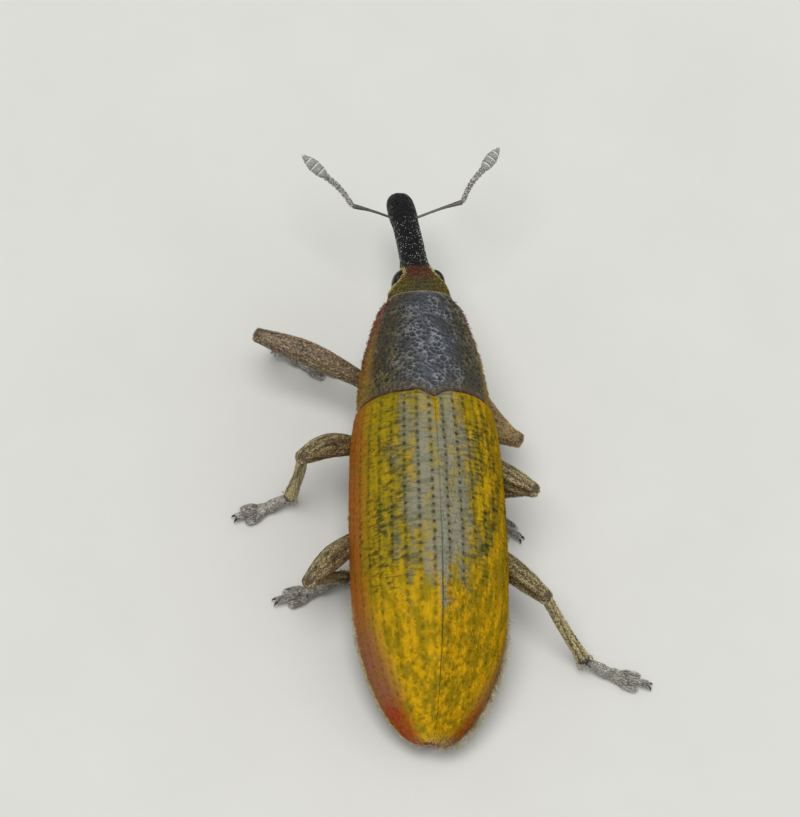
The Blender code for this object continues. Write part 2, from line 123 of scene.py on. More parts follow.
# The feelers: elbow, base and tip of the club in the stance frame.
FEELERS = {
    "left": ((-1.87, 6.80, 3.75), (-2.71, 7.69, 4.0), (-3.43, 8.29, 4.2)),
    "right": ((1.58, 7.10, 3.75), (2.26, 8.17, 4.0), (2.77, 8.85, 4.2)),
}
FEELER_ROOT_SHARE = 0.64
CLUB_RINGS = 4
RING_GROOVE_DEPTH = 0.014
RING_GROOVE_WIDTH = 0.07
TIBIA_SPINES = 9

# How square a section is: 2 is an ellipse.
SECTION_POWER = 2.2
HEAD_SECTION_POWER = 2.1

# The distance from pit to pit in the nets on the skins, and the height of the pronotum's ridges.
PRONOTUM_PIT = 0.14
HEAD_PIT = 0.09
SNOUT_PIT = 0.11
LEG_PIT = 0.09
PRONOTUM_RELIEF = 0.045

STANCE = (
    Matrix.Translation((*STANCE_PLACE, 0))
    @ Matrix.Translation((0, 0, AXIS_HEIGHT))
    @ Matrix.Rotation(BODY_PITCH, 4, "X")
)
FLOOR_STANCE = Matrix.Translation((*STANCE_PLACE, 0))
HEAD_PIVOT = Vector((0, PROTHORAX_LENGTH, 0))
HEAD_STANCE = (
    STANCE
    @ Matrix.Translation(HEAD_PIVOT)
    @ Matrix.Rotation(HEAD_TURN, 4, "Z")
    @ Matrix.Translation(-HEAD_PIVOT)
)


# Shape tools

def along(table, place):
    """The row of a table at a place, on a smooth curve through its stations."""
    rows = sorted(table)
    place = min(max(place, rows[0][0]), rows[-1][0])
    i = max(k for k in range(len(rows) - 1) if rows[k][0] <= place or k == 0)
    before, start, end, after = rows[max(i - 1, 0)], rows[i], rows[i + 1], rows[min(i + 2, len(rows) - 1)]
    span = end[0] - start[0]
    t = (place - start[0]) / span
    values = []
    for p, a, b, n in zip(before[1:], start[1:], end[1:], after[1:]):
        slope_a = (b - p) / (end[0] - before[0]) * span
        slope_b = (n - a) / (after[0] - start[0]) * span
        values.append(
            (2 * t**3 - 3 * t**2 + 1) * a
            + (t**3 - 2 * t**2 + t) * slope_a
            + (3 * t**2 - 2 * t**3) * b
            + (t**3 - t**2) * slope_b
        )
    return values


def ease(low, high, value):
    """0 up to low, 1 past high and smooth between, also where high is the smaller one."""
    t = min(max((value - low) / (high - low), 0.0), 1.0)
    return t * t * (3 - 2 * t)


def bell(value, width):
    return math.exp(-((value / width) ** 2))


def oval(angle, power=SECTION_POWER):
    """A point on a section that is a little squarer than an ellipse."""
    c, s = math.cos(angle), math.sin(angle)
    return math.copysign(abs(c) ** (2 / power), c), math.copysign(abs(s) ** (2 / power), s)


def sphere(around, rings):
    """A sphere's mesh with its faces in the order of their corners.

    Blender gives them in another order each time, and hairs are drawn by the number of a face.
    """
    bm = bmesh.new()
    bmesh.ops.create_uvsphere(bm, u_segments=around, v_segments=rings, radius=1)
    bm.verts.index_update()
    total = len(bm.verts)

    def order(face):
        first, second, third = sorted(vert.index for vert in face.verts)[:3]
        return (first * total + second) * total + third

    bm.faces.sort(key=order)
    return bm


def wrapped(around, rings, shape, relief=None, layout="Lay"):
    """A sphere's mesh laid round a form: shape(share, turn) gives each point, both shares from 0 to 1.

    relief(share, turn, point) gives a height over that form and a dict of marks kept on each vertex.
    """
    bm = sphere(around, rings)
    lay = []
    for vert in bm.verts:
        share = round(math.acos(min(max(vert.co.z, -1), 1)) / math.pi * rings) / rings
        turn = round(math.atan2(vert.co.y, vert.co.x) / (2 * math.pi) * around) % around / around
        lay.append((share, turn))
    for vert, place in zip(bm.verts, lay):
        vert.co = shape(*place)
    bmesh.ops.recalc_face_normals(bm, faces=bm.faces[:])
    bm.normal_update()
    if relief:
        found = [relief(*place, vert.co) for vert, place in zip(bm.verts, lay)]
        layers = {name: bm.verts.layers.float.new(name) for name in found[0][1]}
        for vert, (height, marks) in zip(bm.verts, found):
            vert.co = vert.co + vert.normal * height
            for name, layer in layers.items():
                vert[layer] = marks[name]
        bm.normal_update()
    uv = bm.loops.layers.uv.new(layout)
    for face in bm.faces:
        places = [lay[vert.index] for vert in face.verts]
        turns = [turn for share, turn in places if 0 < share < 1]
        past = max(turns) - min(turns) > 0.5
        turns = [turn + (past and turn < 0.5) for turn in turns]
        for loop, (share, turn) in zip(face.loops, places):
            if 0 < share < 1:
                loop[uv].uv = (turn + (past and turn < 0.5), share)
            else:
                loop[uv].uv = (sum(turns) / len(turns), share)
    return bm


def joined(parts):
    """Several closed forms as one mesh."""
    whole = bmesh.new()
    for part in parts:
        mesh = bpy.data.meshes.new("part")
        part.to_mesh(mesh)
        part.free()
        whole.from_mesh(mesh)
        bpy.data.meshes.remove(mesh)
    return whole


def riding(mesh, slot, *nodes):
    """An object for a mesh that rides on the body, in place of its CAD nodes."""
    obj = bpy.data.objects.new(mesh.name, mesh)
    bpy.context.scene.collection.objects.link(obj)
    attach(obj, "root")
    if nodes:
        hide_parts(*nodes)
    return obj


def moved(bm, matrix):
    bmesh.ops.transform(bm, matrix=matrix, verts=bm.verts)
    return bm


def piece(name, bm, material, slot, *nodes):
    """The finished object in metres at the origin."""
    mesh = bpy.data.meshes.new(name)
    moved(bm, Matrix.Scale(MM, 4)).to_mesh(mesh)
    bm.free()
    mesh.shade_smooth()
    mesh.materials.append(material)
    return riding(mesh, slot, *nodes)


def distances(points):
    """How far each point lies along the line through them all."""
    found = [0.0]
    for a, b in zip(points, points[1:]):
        found.append(found[-1] + (b - a).length)
    return found


def limb(path, radii, around, rings, flatten=1.0, relief=None, close=0.5):
    """A limb along a smooth path, with its radii by share of the length.

    flatten is its width by its thickness, and close how far its round ends reach, by their radius.
    """
    lengths = distances(path)
    table = [(at, *point) for at, point in zip(lengths, path)]
    total = lengths[-1]
    frames = {}

    def axis_at(share):
        if share not in frames:
            behind, centre, beyond = (
                Vector(along(table, total * min(max(share + step, 0), 1))) for step in (-0.01, 0, 0.01)
            )
            ahead = (beyond - behind).normalized()
            level = Vector((0, 0, 1)) if abs(ahead.z) < 0.97 else Vector((0, 1, 0))
            side = ahead.cross(level).normalized()
            frames[share] = (centre, side, side.cross(ahead), along(radii, share)[0])
        return frames[share]

    def shape(share, turn):
        centre, side, up, radius = axis_at(share)
        reach = min(share, 1 - share) * total / (close * max(radius, 0.01))
        radius *= math.sqrt(max(1 - (1 - min(reach, 1)) ** 2, 0))
        angle = 2 * math.pi * turn
        return centre + side * (radius * flatten * math.cos(angle)) + up * (radius * math.sin(angle))

    return wrapped(around, rings, shape, relief)


def grain(point, size):
    """Signed smooth noise with lumps of about the size given, in millimetres."""
    return noise.noise(Vector(point) / size)


def pit_net(point, spacing, rim):
    """0 in the middle of a pit and 1 on the net of ridges between the pits."""
    near = noise.voronoi(Vector(point) / spacing)[0]
    return 1 - ease(0.0, rim, near[1] - near[0])


# Material tools

# Kinds of node: the type, the inputs that are given in turn, the output that is used, and fixed settings.
PLUS = ("Math", (0, 1), 0, {"operation": "ADD"})
TIMES = ("Math", (0, 1), 0, {"operation": "MULTIPLY"})
GREATER = ("Math", (0, 1), 0, {"operation": "MAXIMUM"})
BLEND = ("Mix", (0, 6, 7), 2, {"data_type": "RGBA"})
RAMP = ("MapRange", (0, 1, 2), 0, {"interpolation_type": "SMOOTHSTEP"})
NOISE = ("TexNoise", ("Vector", "Scale", "Detail", "Roughness"), 0, {})
FACETS = ("TexVoronoi", ("Vector", "Scale"), 0, {})
STRETCH = ("Mapping", ("Vector", "Scale"), 0, {})
BUMP = ("Bump", ("Height", "Distance", "Strength"), 0, {})
ALONG_X = ("SeparateXYZ", (0,), "X", {})
ALONG_Y = ("SeparateXYZ", (0,), "Y", {})
PLACE = ("TexCoord", (), "Object", {})
MAP = ("UVMap", (), 0, {})
MARK = ("Attribute", (), "Fac", {})


def linear(code):
    """An sRGB hex colour as linear RGBA."""
    channels = [int(code[i : i + 2], 16) / 255 for i in (0, 2, 4)]
    return [c / 12.92 if c <= 0.04045 else ((c + 0.055) / 1.055) ** 2.4 for c in channels] + [1.0]


def give(tree, socket, value):
    """Links an input or sets its value, which may be an sRGB hex colour."""
    if isinstance(value, bpy.types.NodeSocket):
        tree.links.new(value, socket)
    else:
        socket.default_value = linear(value) if isinstance(value, str) else value


def add(tree, kind, *values, **settings):
    """Adds a node with its settings, gives its inputs their values or links, and returns its output."""
    node, inputs, output, fixed = kind
    made = tree.nodes.new("ShaderNode" + node)
    for name, value in {**fixed, **settings}.items():
        setattr(made, name, value)
    for name, value in zip(inputs, values):
        give(tree, made.inputs[name], value)
    return made.outputs[output]


def product(tree, *masks):
    """Masks multiplied: each is a number, an output, or a value with the ends of its smooth ramp."""
    made = None
    for mask in masks:
        if isinstance(mask, tuple):
            mask = add(tree, RAMP, *mask)
        made = mask if made is None else add(tree, TIMES, made, mask)
    return made


def summed(tree, start, *terms):
    """A start value with the product of each term's masks added."""
    for masks in terms:
        start = add(tree, PLUS, start, product(tree, *masks))
    return start


def painted(tree, under, over, *masks):
    """One colour laid over another as thickly as the product of the masks says."""
    return add(tree, BLEND, product(tree, *masks), under, over)


def lumps(millimetres):
    """The scale at which a pattern's lumps or cells are about so many millimetres wide."""
    return 1 / (millimetres * MM)


def new_material(name):
    """A material with its node tree, its shader and the place on the object, in metres."""
    made = bpy.data.materials.new(name)
    made.use_nodes = True
    tree = made.node_tree
    tree.nodes.clear()
    shader = tree.nodes.new("ShaderNodeBsdfPrincipled")
    output = tree.nodes.new("ShaderNodeOutputMaterial")
    tree.links.new(shader.outputs[0], output.inputs["Surface"])
    return made, tree, shader, add(tree, PLACE)


def finish(tree, shader, colour, roughness, height=None, depth=0.0, **values):
    """Gives the shader its colour, its roughness, a bump with a depth in millimetres, and plain values."""
    give(tree, shader.inputs["Base Color"], colour)
    give(tree, shader.inputs["Roughness"], roughness)
    if height is not None:
        give(tree, shader.inputs["Normal"], add(tree, BUMP, height, depth * MM, 1.0))
    for name, value in values.items():
        give(tree, shader.inputs[name.replace("_", " ")], value)


def mottled(name, dark, light, size, roughness, detail=3, depth=0.0, paints=()):
    """A material mottled between two colours, with a paint over it at each mark on the mesh."""
    made, tree, shader, place = new_material(name)
    tone = add(tree, NOISE, place, lumps(size), detail, 0.6)
    colour = painted(tree, dark, light, tone)
    for mark, paint in paints:
        colour = painted(tree, colour, paint, add(tree, MARK, attribute_name=mark))
    finish(tree, shader, colour, roughness, tone if depth else None, depth)
    return made


# The materials

def pronotum_cuticle():
    """Thick black cuticle under a net of low ridges, grey on the back and olive on the sides, with painted
    shade in the pits and a painted highlight on the crests; the side margins are dark rust in front and
    mustard to the rear."""
    made, tree, shader, place = new_material("netted_black_cuticle")
    net, flank, middle, front, left, rear, rear_rim, front_rim = (
        add(tree, MARK, attribute_name=name)
        for name in ("net", "flank", "middle", "front", "left", "rear", "rear_rim", "front_rim")
    )
    patch = add(tree, NOISE, place, lumps(0.6), 3, 0.6)
    fine = add(tree, NOISE, place, lumps(0.07), 3, 0.7)
    # Painted shade in the net's pits and a painted highlight on its crests, grey on the back and olive on
    # the sides.
    crest_highlight = add(tree, RAMP, net, 0.76, 1.0)
    back = painted(tree, painted(tree, "2A2B30", "404248", net), "84868E", crest_highlight)
    back = painted(tree, back, "3A3B3C", 0.5, (patch, 0.62, 0.40))
    sides = painted(tree, painted(tree, "1E1B10", "34301C", net), "57502B", crest_highlight)
    rust = painted(tree, "3E1A0C", "8C4622", fine)
    mustard = painted(tree, "5C480C", "A08018", fine)
    warm = summed(tree, front, (left,), (0.6, patch))
    margin = painted(tree, mustard, rust, (warm, 0.45, 1.35))
    near = summed(tree, middle, (0.5, patch))
    colour = painted(tree, back, sides, (near, 1.30, 0.57))
    edge = summed(tree, flank, (0.3, patch))
    colour = painted(tree, colour, margin, (edge, 0.67, 1.07))
    colour = painted(tree, colour, painted(tree, "2E2414", "6E5A2C", fine), 0.55, rear)
    colour = painted(tree, colour, "3A130D", 0.8, rear_rim)
    colour = painted(tree, colour, "8E7A54", 0.7, front_rim)
    colour = painted(tree, colour, "0E0C09", 0.3, (fine, 0.5, 0.7))
    roughness = summed(tree, 0.52, (-0.16, net))
    finish(tree, shader, colour, roughness, fine, 0.012, Specular_IOR_Level=0.4)
    return made


def wing_case_looks(tree, place, lay):
    """Grey-blue cuticle along the back that mustard wax powder covers in patches, thickly to the rear,
    with olive cuticle to the sides and rust-red margins: the colour and the patterns that it is made of."""
    across, back = add(tree, ALONG_X, lay), add(tree, ALONG_Y, lay)
    right = add(tree, ALONG_X, place)
    drawn_out = add(tree, STRETCH, place, (1.0, 0.3, 1.0))
    drawn_over = add(tree, STRETCH, place, (0.3, 1.0, 0.4))
    broad = add(tree, NOISE, drawn_out, lumps(0.55), 2, 0.6)
    clouds = add(tree, NOISE, drawn_out, lumps(0.34), 2, 0.6)
    streaks = add(tree, NOISE, drawn_out, lumps(0.17), 3, 0.6)
    wrinkles = add(tree, NOISE, drawn_over, lumps(0.11), 3, 0.65)
    fine = add(tree, NOISE, place, lumps(0.08), 3, 0.7)
    front = add(tree, RAMP, back, 0.74, 0.42)
    left = add(tree, RAMP, right, 1.0 * MM, -0.8 * MM)
    amount = summed(
        tree,
        0.72,
        (1.1, streaks),
        (1.7, wrinkles),
        (2.0, broad),
        # Less in front, and least along its middle.
        (-0.62, front),
        (-0.14, front, (across, 0.55, 0.20)),
        # More on the shoulders, at the front edge and on the right.
        (0.25, (across, 0.35, 0.60), (back, 0.30, 0.02)),
        (0.22, (back, 0.10, 0.0)),
        (0.16, (right, -0.2 * MM, 1.8 * MM)),
        # Bare along the seam and on the bluest patch, left of it.
        (-0.4, (across, 0.07, 0.01), (back, 0.2, 0.4), (back, 0.80, 0.6)),
        (-0.22, (across, 0.40, 0.25), (back, 0.62, 0.52), (right, 0.3 * MM, -0.4 * MM)),
        # A tongue behind the middle of the prothorax.
        (0.6, (across, 0.04, 0.01), (back, 0.16, 0.02)),
    )
    powder = add(tree, RAMP, amount, 2.0, 2.8)
    grey = painted(tree, "6E6C4E", "868474", (wrinkles, 0.30, 0.60))
    olive = painted(tree, "423C12", "7A6E22", (wrinkles, 0.36, 0.64))
    outer = summed(tree, across, (0.5, broad), (0.14, (right, -0.4 * MM, 1.0 * MM)))
    bare = painted(tree, grey, olive, (outer, 0.32, 0.66))
    mustard = painted(tree, "8E7606", "C29604", (clouds, 0.40, 0.62))
    mustard = painted(tree, mustard, "D6A602", 0.4, (streaks, 0.45, 0.70))
    mustard = painted(tree, mustard, "8E7E10", front, summed(tree, 0.15, (0.5, left)))
    mustard = painted(tree, mustard, "5A4C08", 0.75, (fine, 0.54, 0.66), (broad, 0.62, 0.40))
    in_folds = summed(tree, 0.2, (0.4, left))
    mustard = painted(tree, mustard, "5A520E", in_folds, (wrinkles, 0.50, 0.36), (back, 0.75, 0.45))
    rust = painted(tree, "A85A1E", "8E5444", (back, 0.55, 0.74))
    rust = painted(tree, rust, "96301A", (back, 0.84, 0.93))
    rust = painted(tree, rust, "8A6416", 0.45, (clouds, 0.45, 0.62))
    rust = painted(tree, rust, "5A2010", 0.7, (fine, 0.58, 0.68))
    # The rust climbs higher to the rear, and less high at the front edge and on the right.
    low = summed(
        tree,
        across,
        (0.30, clouds),
        (0.22, (back, 0.55, 1.0)),
        (-0.06, (back, 0.12, 0.0)),
        (-0.18, (right, -1.0 * MM, 1.6 * MM)),
    )
    colour = painted(tree, painted(tree, bare, mustard, powder), rust, (low, 0.65, 0.91))
    return SimpleNamespace(
        colour=colour, powder=powder, fine=fine, wrinkles=wrinkles, across=across, back=back
    )


def wing_case_powder():
    """Cuticle under grains of mustard wax: matt where the powder lies, a soft sheen where it is bare, with
    painted shade in its rows of pits and along the seam to the rear, and low cross wrinkles between
    the pits."""
    made, tree, shader, place = new_material("mustard_powder_on_cuticle")
    case = wing_case_looks(tree, place, add(tree, MAP, uv_map="Case"))
    pit, row, seam_shade = (add(tree, MARK, attribute_name=name) for name in ("pit", "row", "seam"))
    colour = painted(tree, case.colour, "4A4410", 0.6, row, (case.fine, 0.38, 0.58), (case.back, 0.95, 0.45))
    # Painted shade in the pits, less where the powder lies thick and to the rear.
    pit_shade_in_powder = summed(tree, 0.85, (-0.4, case.powder))
    to_the_rear = summed(tree, 1.0, (-0.35, (case.back, 0.5, 0.8)))
    colour = painted(tree, colour, "1C1A12", pit, pit_shade_in_powder, to_the_rear)
    # Painted shade along the seam between the two wing cases, towards the rear.
    colour = painted(tree, colour, "1E1812", seam_shade)
    roughness = summed(tree, 0.45, (0.25, case.powder))
    height = summed(tree, case.fine, (1.6, case.wrinkles))
    finish(tree, shader, colour, roughness, height, 0.022, Specular_IOR_Level=0.1)
    return made


def wing_case_hair():
    """Short flat hairs loaded with powder: the same colours as the skin under them, a little lighter,
    and cream along the rear margin."""
    made, tree, shader, place = new_material("powdered_hair")
    case = wing_case_looks(tree, place, add(tree, MAP, uv_map="OFBake"))
    colour = painted(tree, case.colour, "D2A214", summed(tree, 0.06, (0.16, case.powder)))
    margin = product(tree, (case.back, 0.5, 0.8), (case.across, 0.80, 0.95))
    end = add(tree, RAMP, case.back, 0.955, 1.0)
    colour = painted(tree, colour, "D6C69A", 0.75, add(tree, GREATER, margin, end))
    finish(tree, shader, colour, 0.65, Specular_IOR_Level=0.05)
    return made


def plain_hair(name, root, tip, size=0.3):
    """Fine chitin hair, slightly glossy, its tone shifting between two colours from hair to hair."""
    made, tree, shader, place = new_material(name)
    tone = summed(
        tree,
        add(tree, NOISE, place, lumps(size), 3, 0.6),
        (add(tree, NOISE, place, lumps(0.05), 3, 0.6),),
    )
    finish(tree, shader, painted(tree, root, tip, (tone, 0.75, 1.25)), 0.5, Specular_IOR_Level=0.25)
    return made


def lines_along(tree, layout):
    """Noise drawn out along a limb, in lumps a fourteenth of the way round and half its length long."""
    drawn = add(tree, STRETCH, add(tree, MAP, uv_map=layout), (14.0, 2.0, 1.0))
    return add(tree, NOISE, drawn, 1.0, 3, 0.6)


def leg_hair():
    """Flat tan hair in lines along the leg, pale where it is thick and dark brown between, pinkish on the
    fore legs and all tan on the front right one."""
    made, tree, shader, place = new_material("tan_leg_hair")
    right, ahead = add(tree, ALONG_X, place), add(tree, ALONG_Y, place)
    tone = summed(tree, add(tree, NOISE, place, lumps(0.05), 3, 0.6), (1.3, lines_along(tree, "OFBake")))
    pale = add(tree, RAMP, add(tree, NOISE, place, lumps(0.07), 2, 0.6), 0.40, 0.60)
    colour = painted(tree, "54442A", "E8D8A2", (tone, 0.86, 1.36))
    pinkish = painted(tree, "6E5644", "D8BFA6", pale)
    colour = painted(tree, colour, pinkish, 0.75, (ahead, 0.6 * MM, 2.4 * MM))
    tan = painted(tree, "9A7C4C", "C2A064", pale)
    colour = painted(tree, colour, tan, 0.75, (right, 0.9 * MM, 1.6 * MM), (ahead, -0.6 * MM, 0.1 * MM))
    finish(tree, shader, colour, 0.5, Specular_IOR_Level=0.2)
    return made


def leg_cuticle():
    """Thin brown cuticle with a pinkish cast and small dark pits, near black round the joints."""
    made, tree, shader, place = new_material("brown_leg_cuticle")
    tone = add(tree, NOISE, place, lumps(0.5), 3, 0.6)
    fine = add(tree, NOISE, place, lumps(0.05), 2, 0.6)
    colour = painted(tree, "3A2C1C", "6E5836", (lines_along(tree, "Lay"), 0.4, 0.6))
    colour = painted(tree, colour, painted(tree, "2A2018", "3E2E1E", tone), (fine, 0.52, 0.68))
    colour = painted(tree, colour, "100C0A", add(tree, MARK, attribute_name="joint"))
    finish(tree, shader, colour, 0.5, fine, 0.012)
    return made


def head_cuticle():
    """Olive-brown cuticle on the head that turns rust at the snout's root and black along the snout,
    with crowded fine pits."""
    made, tree, shader, place = new_material("olive_to_black_cuticle")
    net, snout, rust = (add(tree, MARK, attribute_name=name) for name in ("net", "snout", "rust"))
    fine = add(tree, NOISE, place, lumps(0.05), 2, 0.6)
    olive = painted(tree, "12100A", "4A4424", net)
    red = painted(tree, "1E0D08", "5E3220", net)
    black = painted(tree, "020202", "0F0F0E", net)
    colour = painted(tree, painted(tree, olive, red, rust), black, snout)
    finish(tree, shader, colour, summed(tree, 0.62, (-0.2, snout)), fine, 0.010, Specular_IOR_Level=0.2)
    return made


def eye_lens():
    """A compound eye: clear chitin facets over dark brown pigment, so a tight highlight on near black."""
    made, tree, shader, place = new_material("dark_compound_eye")
    # Real facets are too fine to show, so these are drawn about half as large again.
    facets = add(tree, FACETS, place, lumps(0.035))
    colour = painted(tree, "241412", "0A0606", (facets, 0.2, 0.6))
    finish(tree, shader, colour, 0.26, facets, -0.006,
           Specular_IOR_Level=0.3, Coat_Weight=0.1, Coat_Roughness=0.08)
    return made


def underside_cuticle():
    """Dark brown cuticle with fine pits, dusted with dull yellow."""
    made, tree, shader, place = new_material("dusted_underside_cuticle")
    tone = add(tree, NOISE, place, lumps(0.4), 3, 0.6)
    fine = add(tree, NOISE, place, lumps(0.07), 3, 0.6)
    colour = painted(tree, "2E2618", "6E5C26", (tone, 0.35, 0.7))
    colour = painted(tree, colour, "17130C", (fine, 0.5, 0.66))
    finish(tree, shader, colour, 0.6, fine, 0.014)
    return made


def foot_cuticle():
    """Grey-brown cuticle of the foot, dark at each joint and at the claws."""
    paints = [("joint", "0E0B09")]
    return mottled("grey_foot_cuticle", "4A453E", "8A847A", 0.2, 0.5, depth=0.01, paints=paints)


def claw_horn():
    """Hard reddish-black claw, smooth and glossy."""
    return mottled("dark_claw", "1A0F0B", "3A2418", 0.1, 0.25)


def feeler_cuticle():
    """Brown cuticle of the feeler's stalk and beads, with a thin gloss."""
    return mottled("feeler_cuticle", "1C1714", "6E675E", 0.15, 0.38, depth=0.008)


def club_cuticle():
    """The club: grey cuticle felted with whitish down, with dark lines between its rings."""
    paints = [("ring", "F0F0EA"), ("joint", "1E1C1A")]
    return mottled("downy_club", "5A5A56", "AAAAA4", 0.05, 0.7, detail=2, depth=0.01, paints=paints)


def floor_paint():
    """Matt pale board."""
    return mottled("matt_pale_board", "CFCDC6", "D6D4CE", 4.0, 0.85)


# Coats of short hair

# Real hairs are too fine to show, so these are drawn about twice as thick.
# Their rows from root to tip: share of the length, size, and share of the rise over the skin.
HAIR_ROWS = ((-0.05, 1.0, -0.3), (0.5, 0.8, 0.75), (1.0, 0.0, 1.0))
HAIR_FACES = ((0, 1, 4, 3), (1, 2, 5, 4), (2, 0, 3, 5), (3, 4, 6), (4, 5, 6), (5, 3, 6), (2, 1, 0))
# Where their corners lie on the map round the root's place, in steps.
HAIR_MAP = ((-1, -1), (1, -1), (0, -1), (-1, 0), (1, 0), (0, 0), (0, 1))
HAIR_MAP_STEP = 0.0015


def coat(name, skin, slot, material, lie, *, count, length, thickness, seed, lift, sway=0.3, chance=None):
    """Short curved hairs over a skin, each a three-sided spike with its root sunk in.

    lie(points, normals) gives their direction, and chance(points, normals, lay) how likely a hair is at
    each face. length may be a number or a function of the same three. lift is a hair's rise by its length,
    and sway how far it strays from its direction.
    """
    mesh = skin.data
    faces = len(mesh.polygons)
    points, normals, areas = np.empty(faces * 3), np.empty(faces * 3), np.empty(faces)
    mesh.polygons.foreach_get("center", points)
    mesh.polygons.foreach_get("normal", normals)
    mesh.polygons.foreach_get("area", areas)
    points, normals = points.reshape(-1, 3) / MM, normals.reshape(-1, 3)
    starts = np.empty(faces, np.int32)
    mesh.polygons.foreach_get("loop_start", starts)
    uvs = np.empty(len(mesh.loops) * 2)
    mesh.uv_layers[0].uv.foreach_get("vector", uvs)
    lay = uvs.reshape(-1, 2)[starts]
    rng = np.random.default_rng(seed)
    weights = areas * (chance(points, normals, lay) if chance else 1.0)
    picked = rng.choice(faces, size=count, p=weights / weights.sum())
    spread = np.sqrt(areas[picked] / MM**2)[:, None] * rng.uniform(-0.6, 0.6, (count, 3))
    normal, lay = normals[picked], lay[picked]
    root = points[picked] + spread - normal * (spread * normal).sum(1)[:, None]
    ahead = lie(root, normal) + rng.normal(0, sway, (count, 3))
    ahead -= normal * (ahead * normal).sum(1)[:, None]
    ahead /= np.linalg.norm(ahead, axis=1)[:, None] + 1e-9
    side = np.cross(normal, ahead)
    reach = (length(root, normal, lay) if callable(length) else length) * rng.uniform(0.65, 1.25, count)
    rise = lift * rng.uniform(0.5, 1.5, count)
    wide = thickness * rng.uniform(0.75, 1.25, count)
    rows = []
    for share, size, up in HAIR_ROWS:
        centre = root + ahead * (reach * share)[:, None] + normal * (reach * rise * up)[:, None]
        if size == 0:
            rows.append(centre)
            continue
        for turn in (0, 1, 2):
            angle = math.pi / 2 + turn * 2 * math.pi / 3
            step = side * math.cos(angle) + normal * math.sin(angle)
            rows.append(centre + step * (wide * size / 2)[:, None])
    verts = np.stack(rows, axis=1).reshape(-1, 3) * MM
    pattern = np.array([corner for face in HAIR_FACES for corner in face])
    corners = (np.arange(count)[:, None] * len(rows) + pattern[None, :]).reshape(-1)
    sizes = np.tile([len(face) for face in HAIR_FACES], count)
    hairs = bpy.data.meshes.new(name)
    hairs.vertices.add(len(verts))
    hairs.vertices.foreach_set("co", verts.reshape(-1))
    hairs.loops.add(len(corners))
    hairs.loops.foreach_set("vertex_index", corners.astype(np.int32))
    hairs.polygons.add(len(sizes))
    hairs.polygons.foreach_set("loop_start", np.concatenate([[0], np.cumsum(sizes)[:-1]]).astype(np.int32))
    hairs.update(calc_edges=True)
    hairs.validate()
    places = (lay % 1.0) * (1 - 4 * HAIR_MAP_STEP) + 2 * HAIR_MAP_STEP
    placed = places[:, None, :] + np.array(HAIR_MAP)[None, :, :] * HAIR_MAP_STEP
    hairs.uv_layers.new(name="OFBake").uv.foreach_set("vector", placed.reshape(-1, 2)[corners].reshape(-1))
    hairs.shade_smooth()
    hairs.materials.append(material)
    return riding(hairs, slot)


def lying(direction):
    """Hairs that all lie one way."""
    direction = np.array(direction[:])
    return lambda points, normals: np.tile(direction, (len(points), 1))


# The trunk

BACKWARD = lying(STANCE.to_3x3() @ Vector((0, -1, 0)))
SEAM_LOBE = 0.22
SEAM_REACH = 1.2


def seam(x):
    """How far forward the border between prothorax and wing cases lies at a distance from the middle."""
    return 0.08 - SEAM_LOBE * bell(x, 0.3) - 0.10 * (abs(x) / PROTHORAX_HALF) ** 2


PROTHORAX_RINGS = {}


def prothorax_shape(share, turn):
    """From the base, which overhangs the wing cases a little, to the collar."""
    y = -0.02 + (PROTHORAX_LENGTH + 0.03) * min(max((share - 0.02) / 0.94, 0), 1)
    if share not in PROTHORAX_RINGS:
        PROTHORAX_RINGS[share] = along(PROTHORAX_STATIONS, y)
    half_width, top, level, bottom = PROTHORAX_RINGS[share]
    shrink = math.sqrt(ease(0, 0.02, share)) * (1 - ease(0.96, 1.0, share)) ** 0.5
    across, up = oval(2 * math.pi * turn)
    x = half_width * across
    y += seam(x) * (1 - ease(0.0, SEAM_REACH, y)) * (1 if up > -0.2 else ease(-0.6, -0.2, up))
    rise = top - level if up > 0 else level - bottom
    return Vector((x * shrink, y, level + up * rise * shrink))


def prothorax_relief(share, turn, point):
    """A wavy net of ridges between pits, and a raised rim in front and behind."""
    up = math.sin(2 * math.pi * turn)
    waves = Vector((grain(point, 0.2), grain(point + Vector((3, 0, 0)), 0.2), 0)) * 0.06
    raised = 0.8 + 0.2 * ease(-0.35, 0.3, grain(point, 0.4))
    net = pit_net(point + waves, PRONOTUM_PIT, 0.60)
    front_rim = bell(share - 0.955, 0.006)
    rear_rim = bell(share - 0.022, 0.012)
    height = (net - 0.5) * PRONOTUM_RELIEF * raised * (1 - front_rim) + grain(point, 0.12) * 0.01
    height += 0.03 * front_rim - 0.025 * bell(share - 0.93, 0.012) + 0.012 * rear_rim
    marks = {
        "net": net * raised,
        "flank": 1 - ease(0.1, 1.0, up),
        "middle": bell(point.x / along(PROTHORAX_STATIONS, point.y)[0], 0.7),
        "front": ease(0.35, 0.95, share),
        "left": 0.3 * ease(0.3, -0.6, point.x / PROTHORAX_HALF),
        "rear": ease(0.14, 0.03, share),
        "rear_rim": rear_rim,
        "front_rim": front_rim,
    }
    return height, marks


CASE_ROWS = 10
CASE_PIT_STEP = 0.27
CASE_PIT_DEPTH = 0.03
CASE_OUTER_SHARE = 0.88
CASE_SEAM_GAP = 0.002
CASE_RING_STEPS = 48
CASE_RINGS = {}


def case_station(share):
    """Where on the body's axis a share of the wing case's length lies."""
    return CASE_END * min(max((share - 0.004) / 0.98, 0), 1) ** 0.96


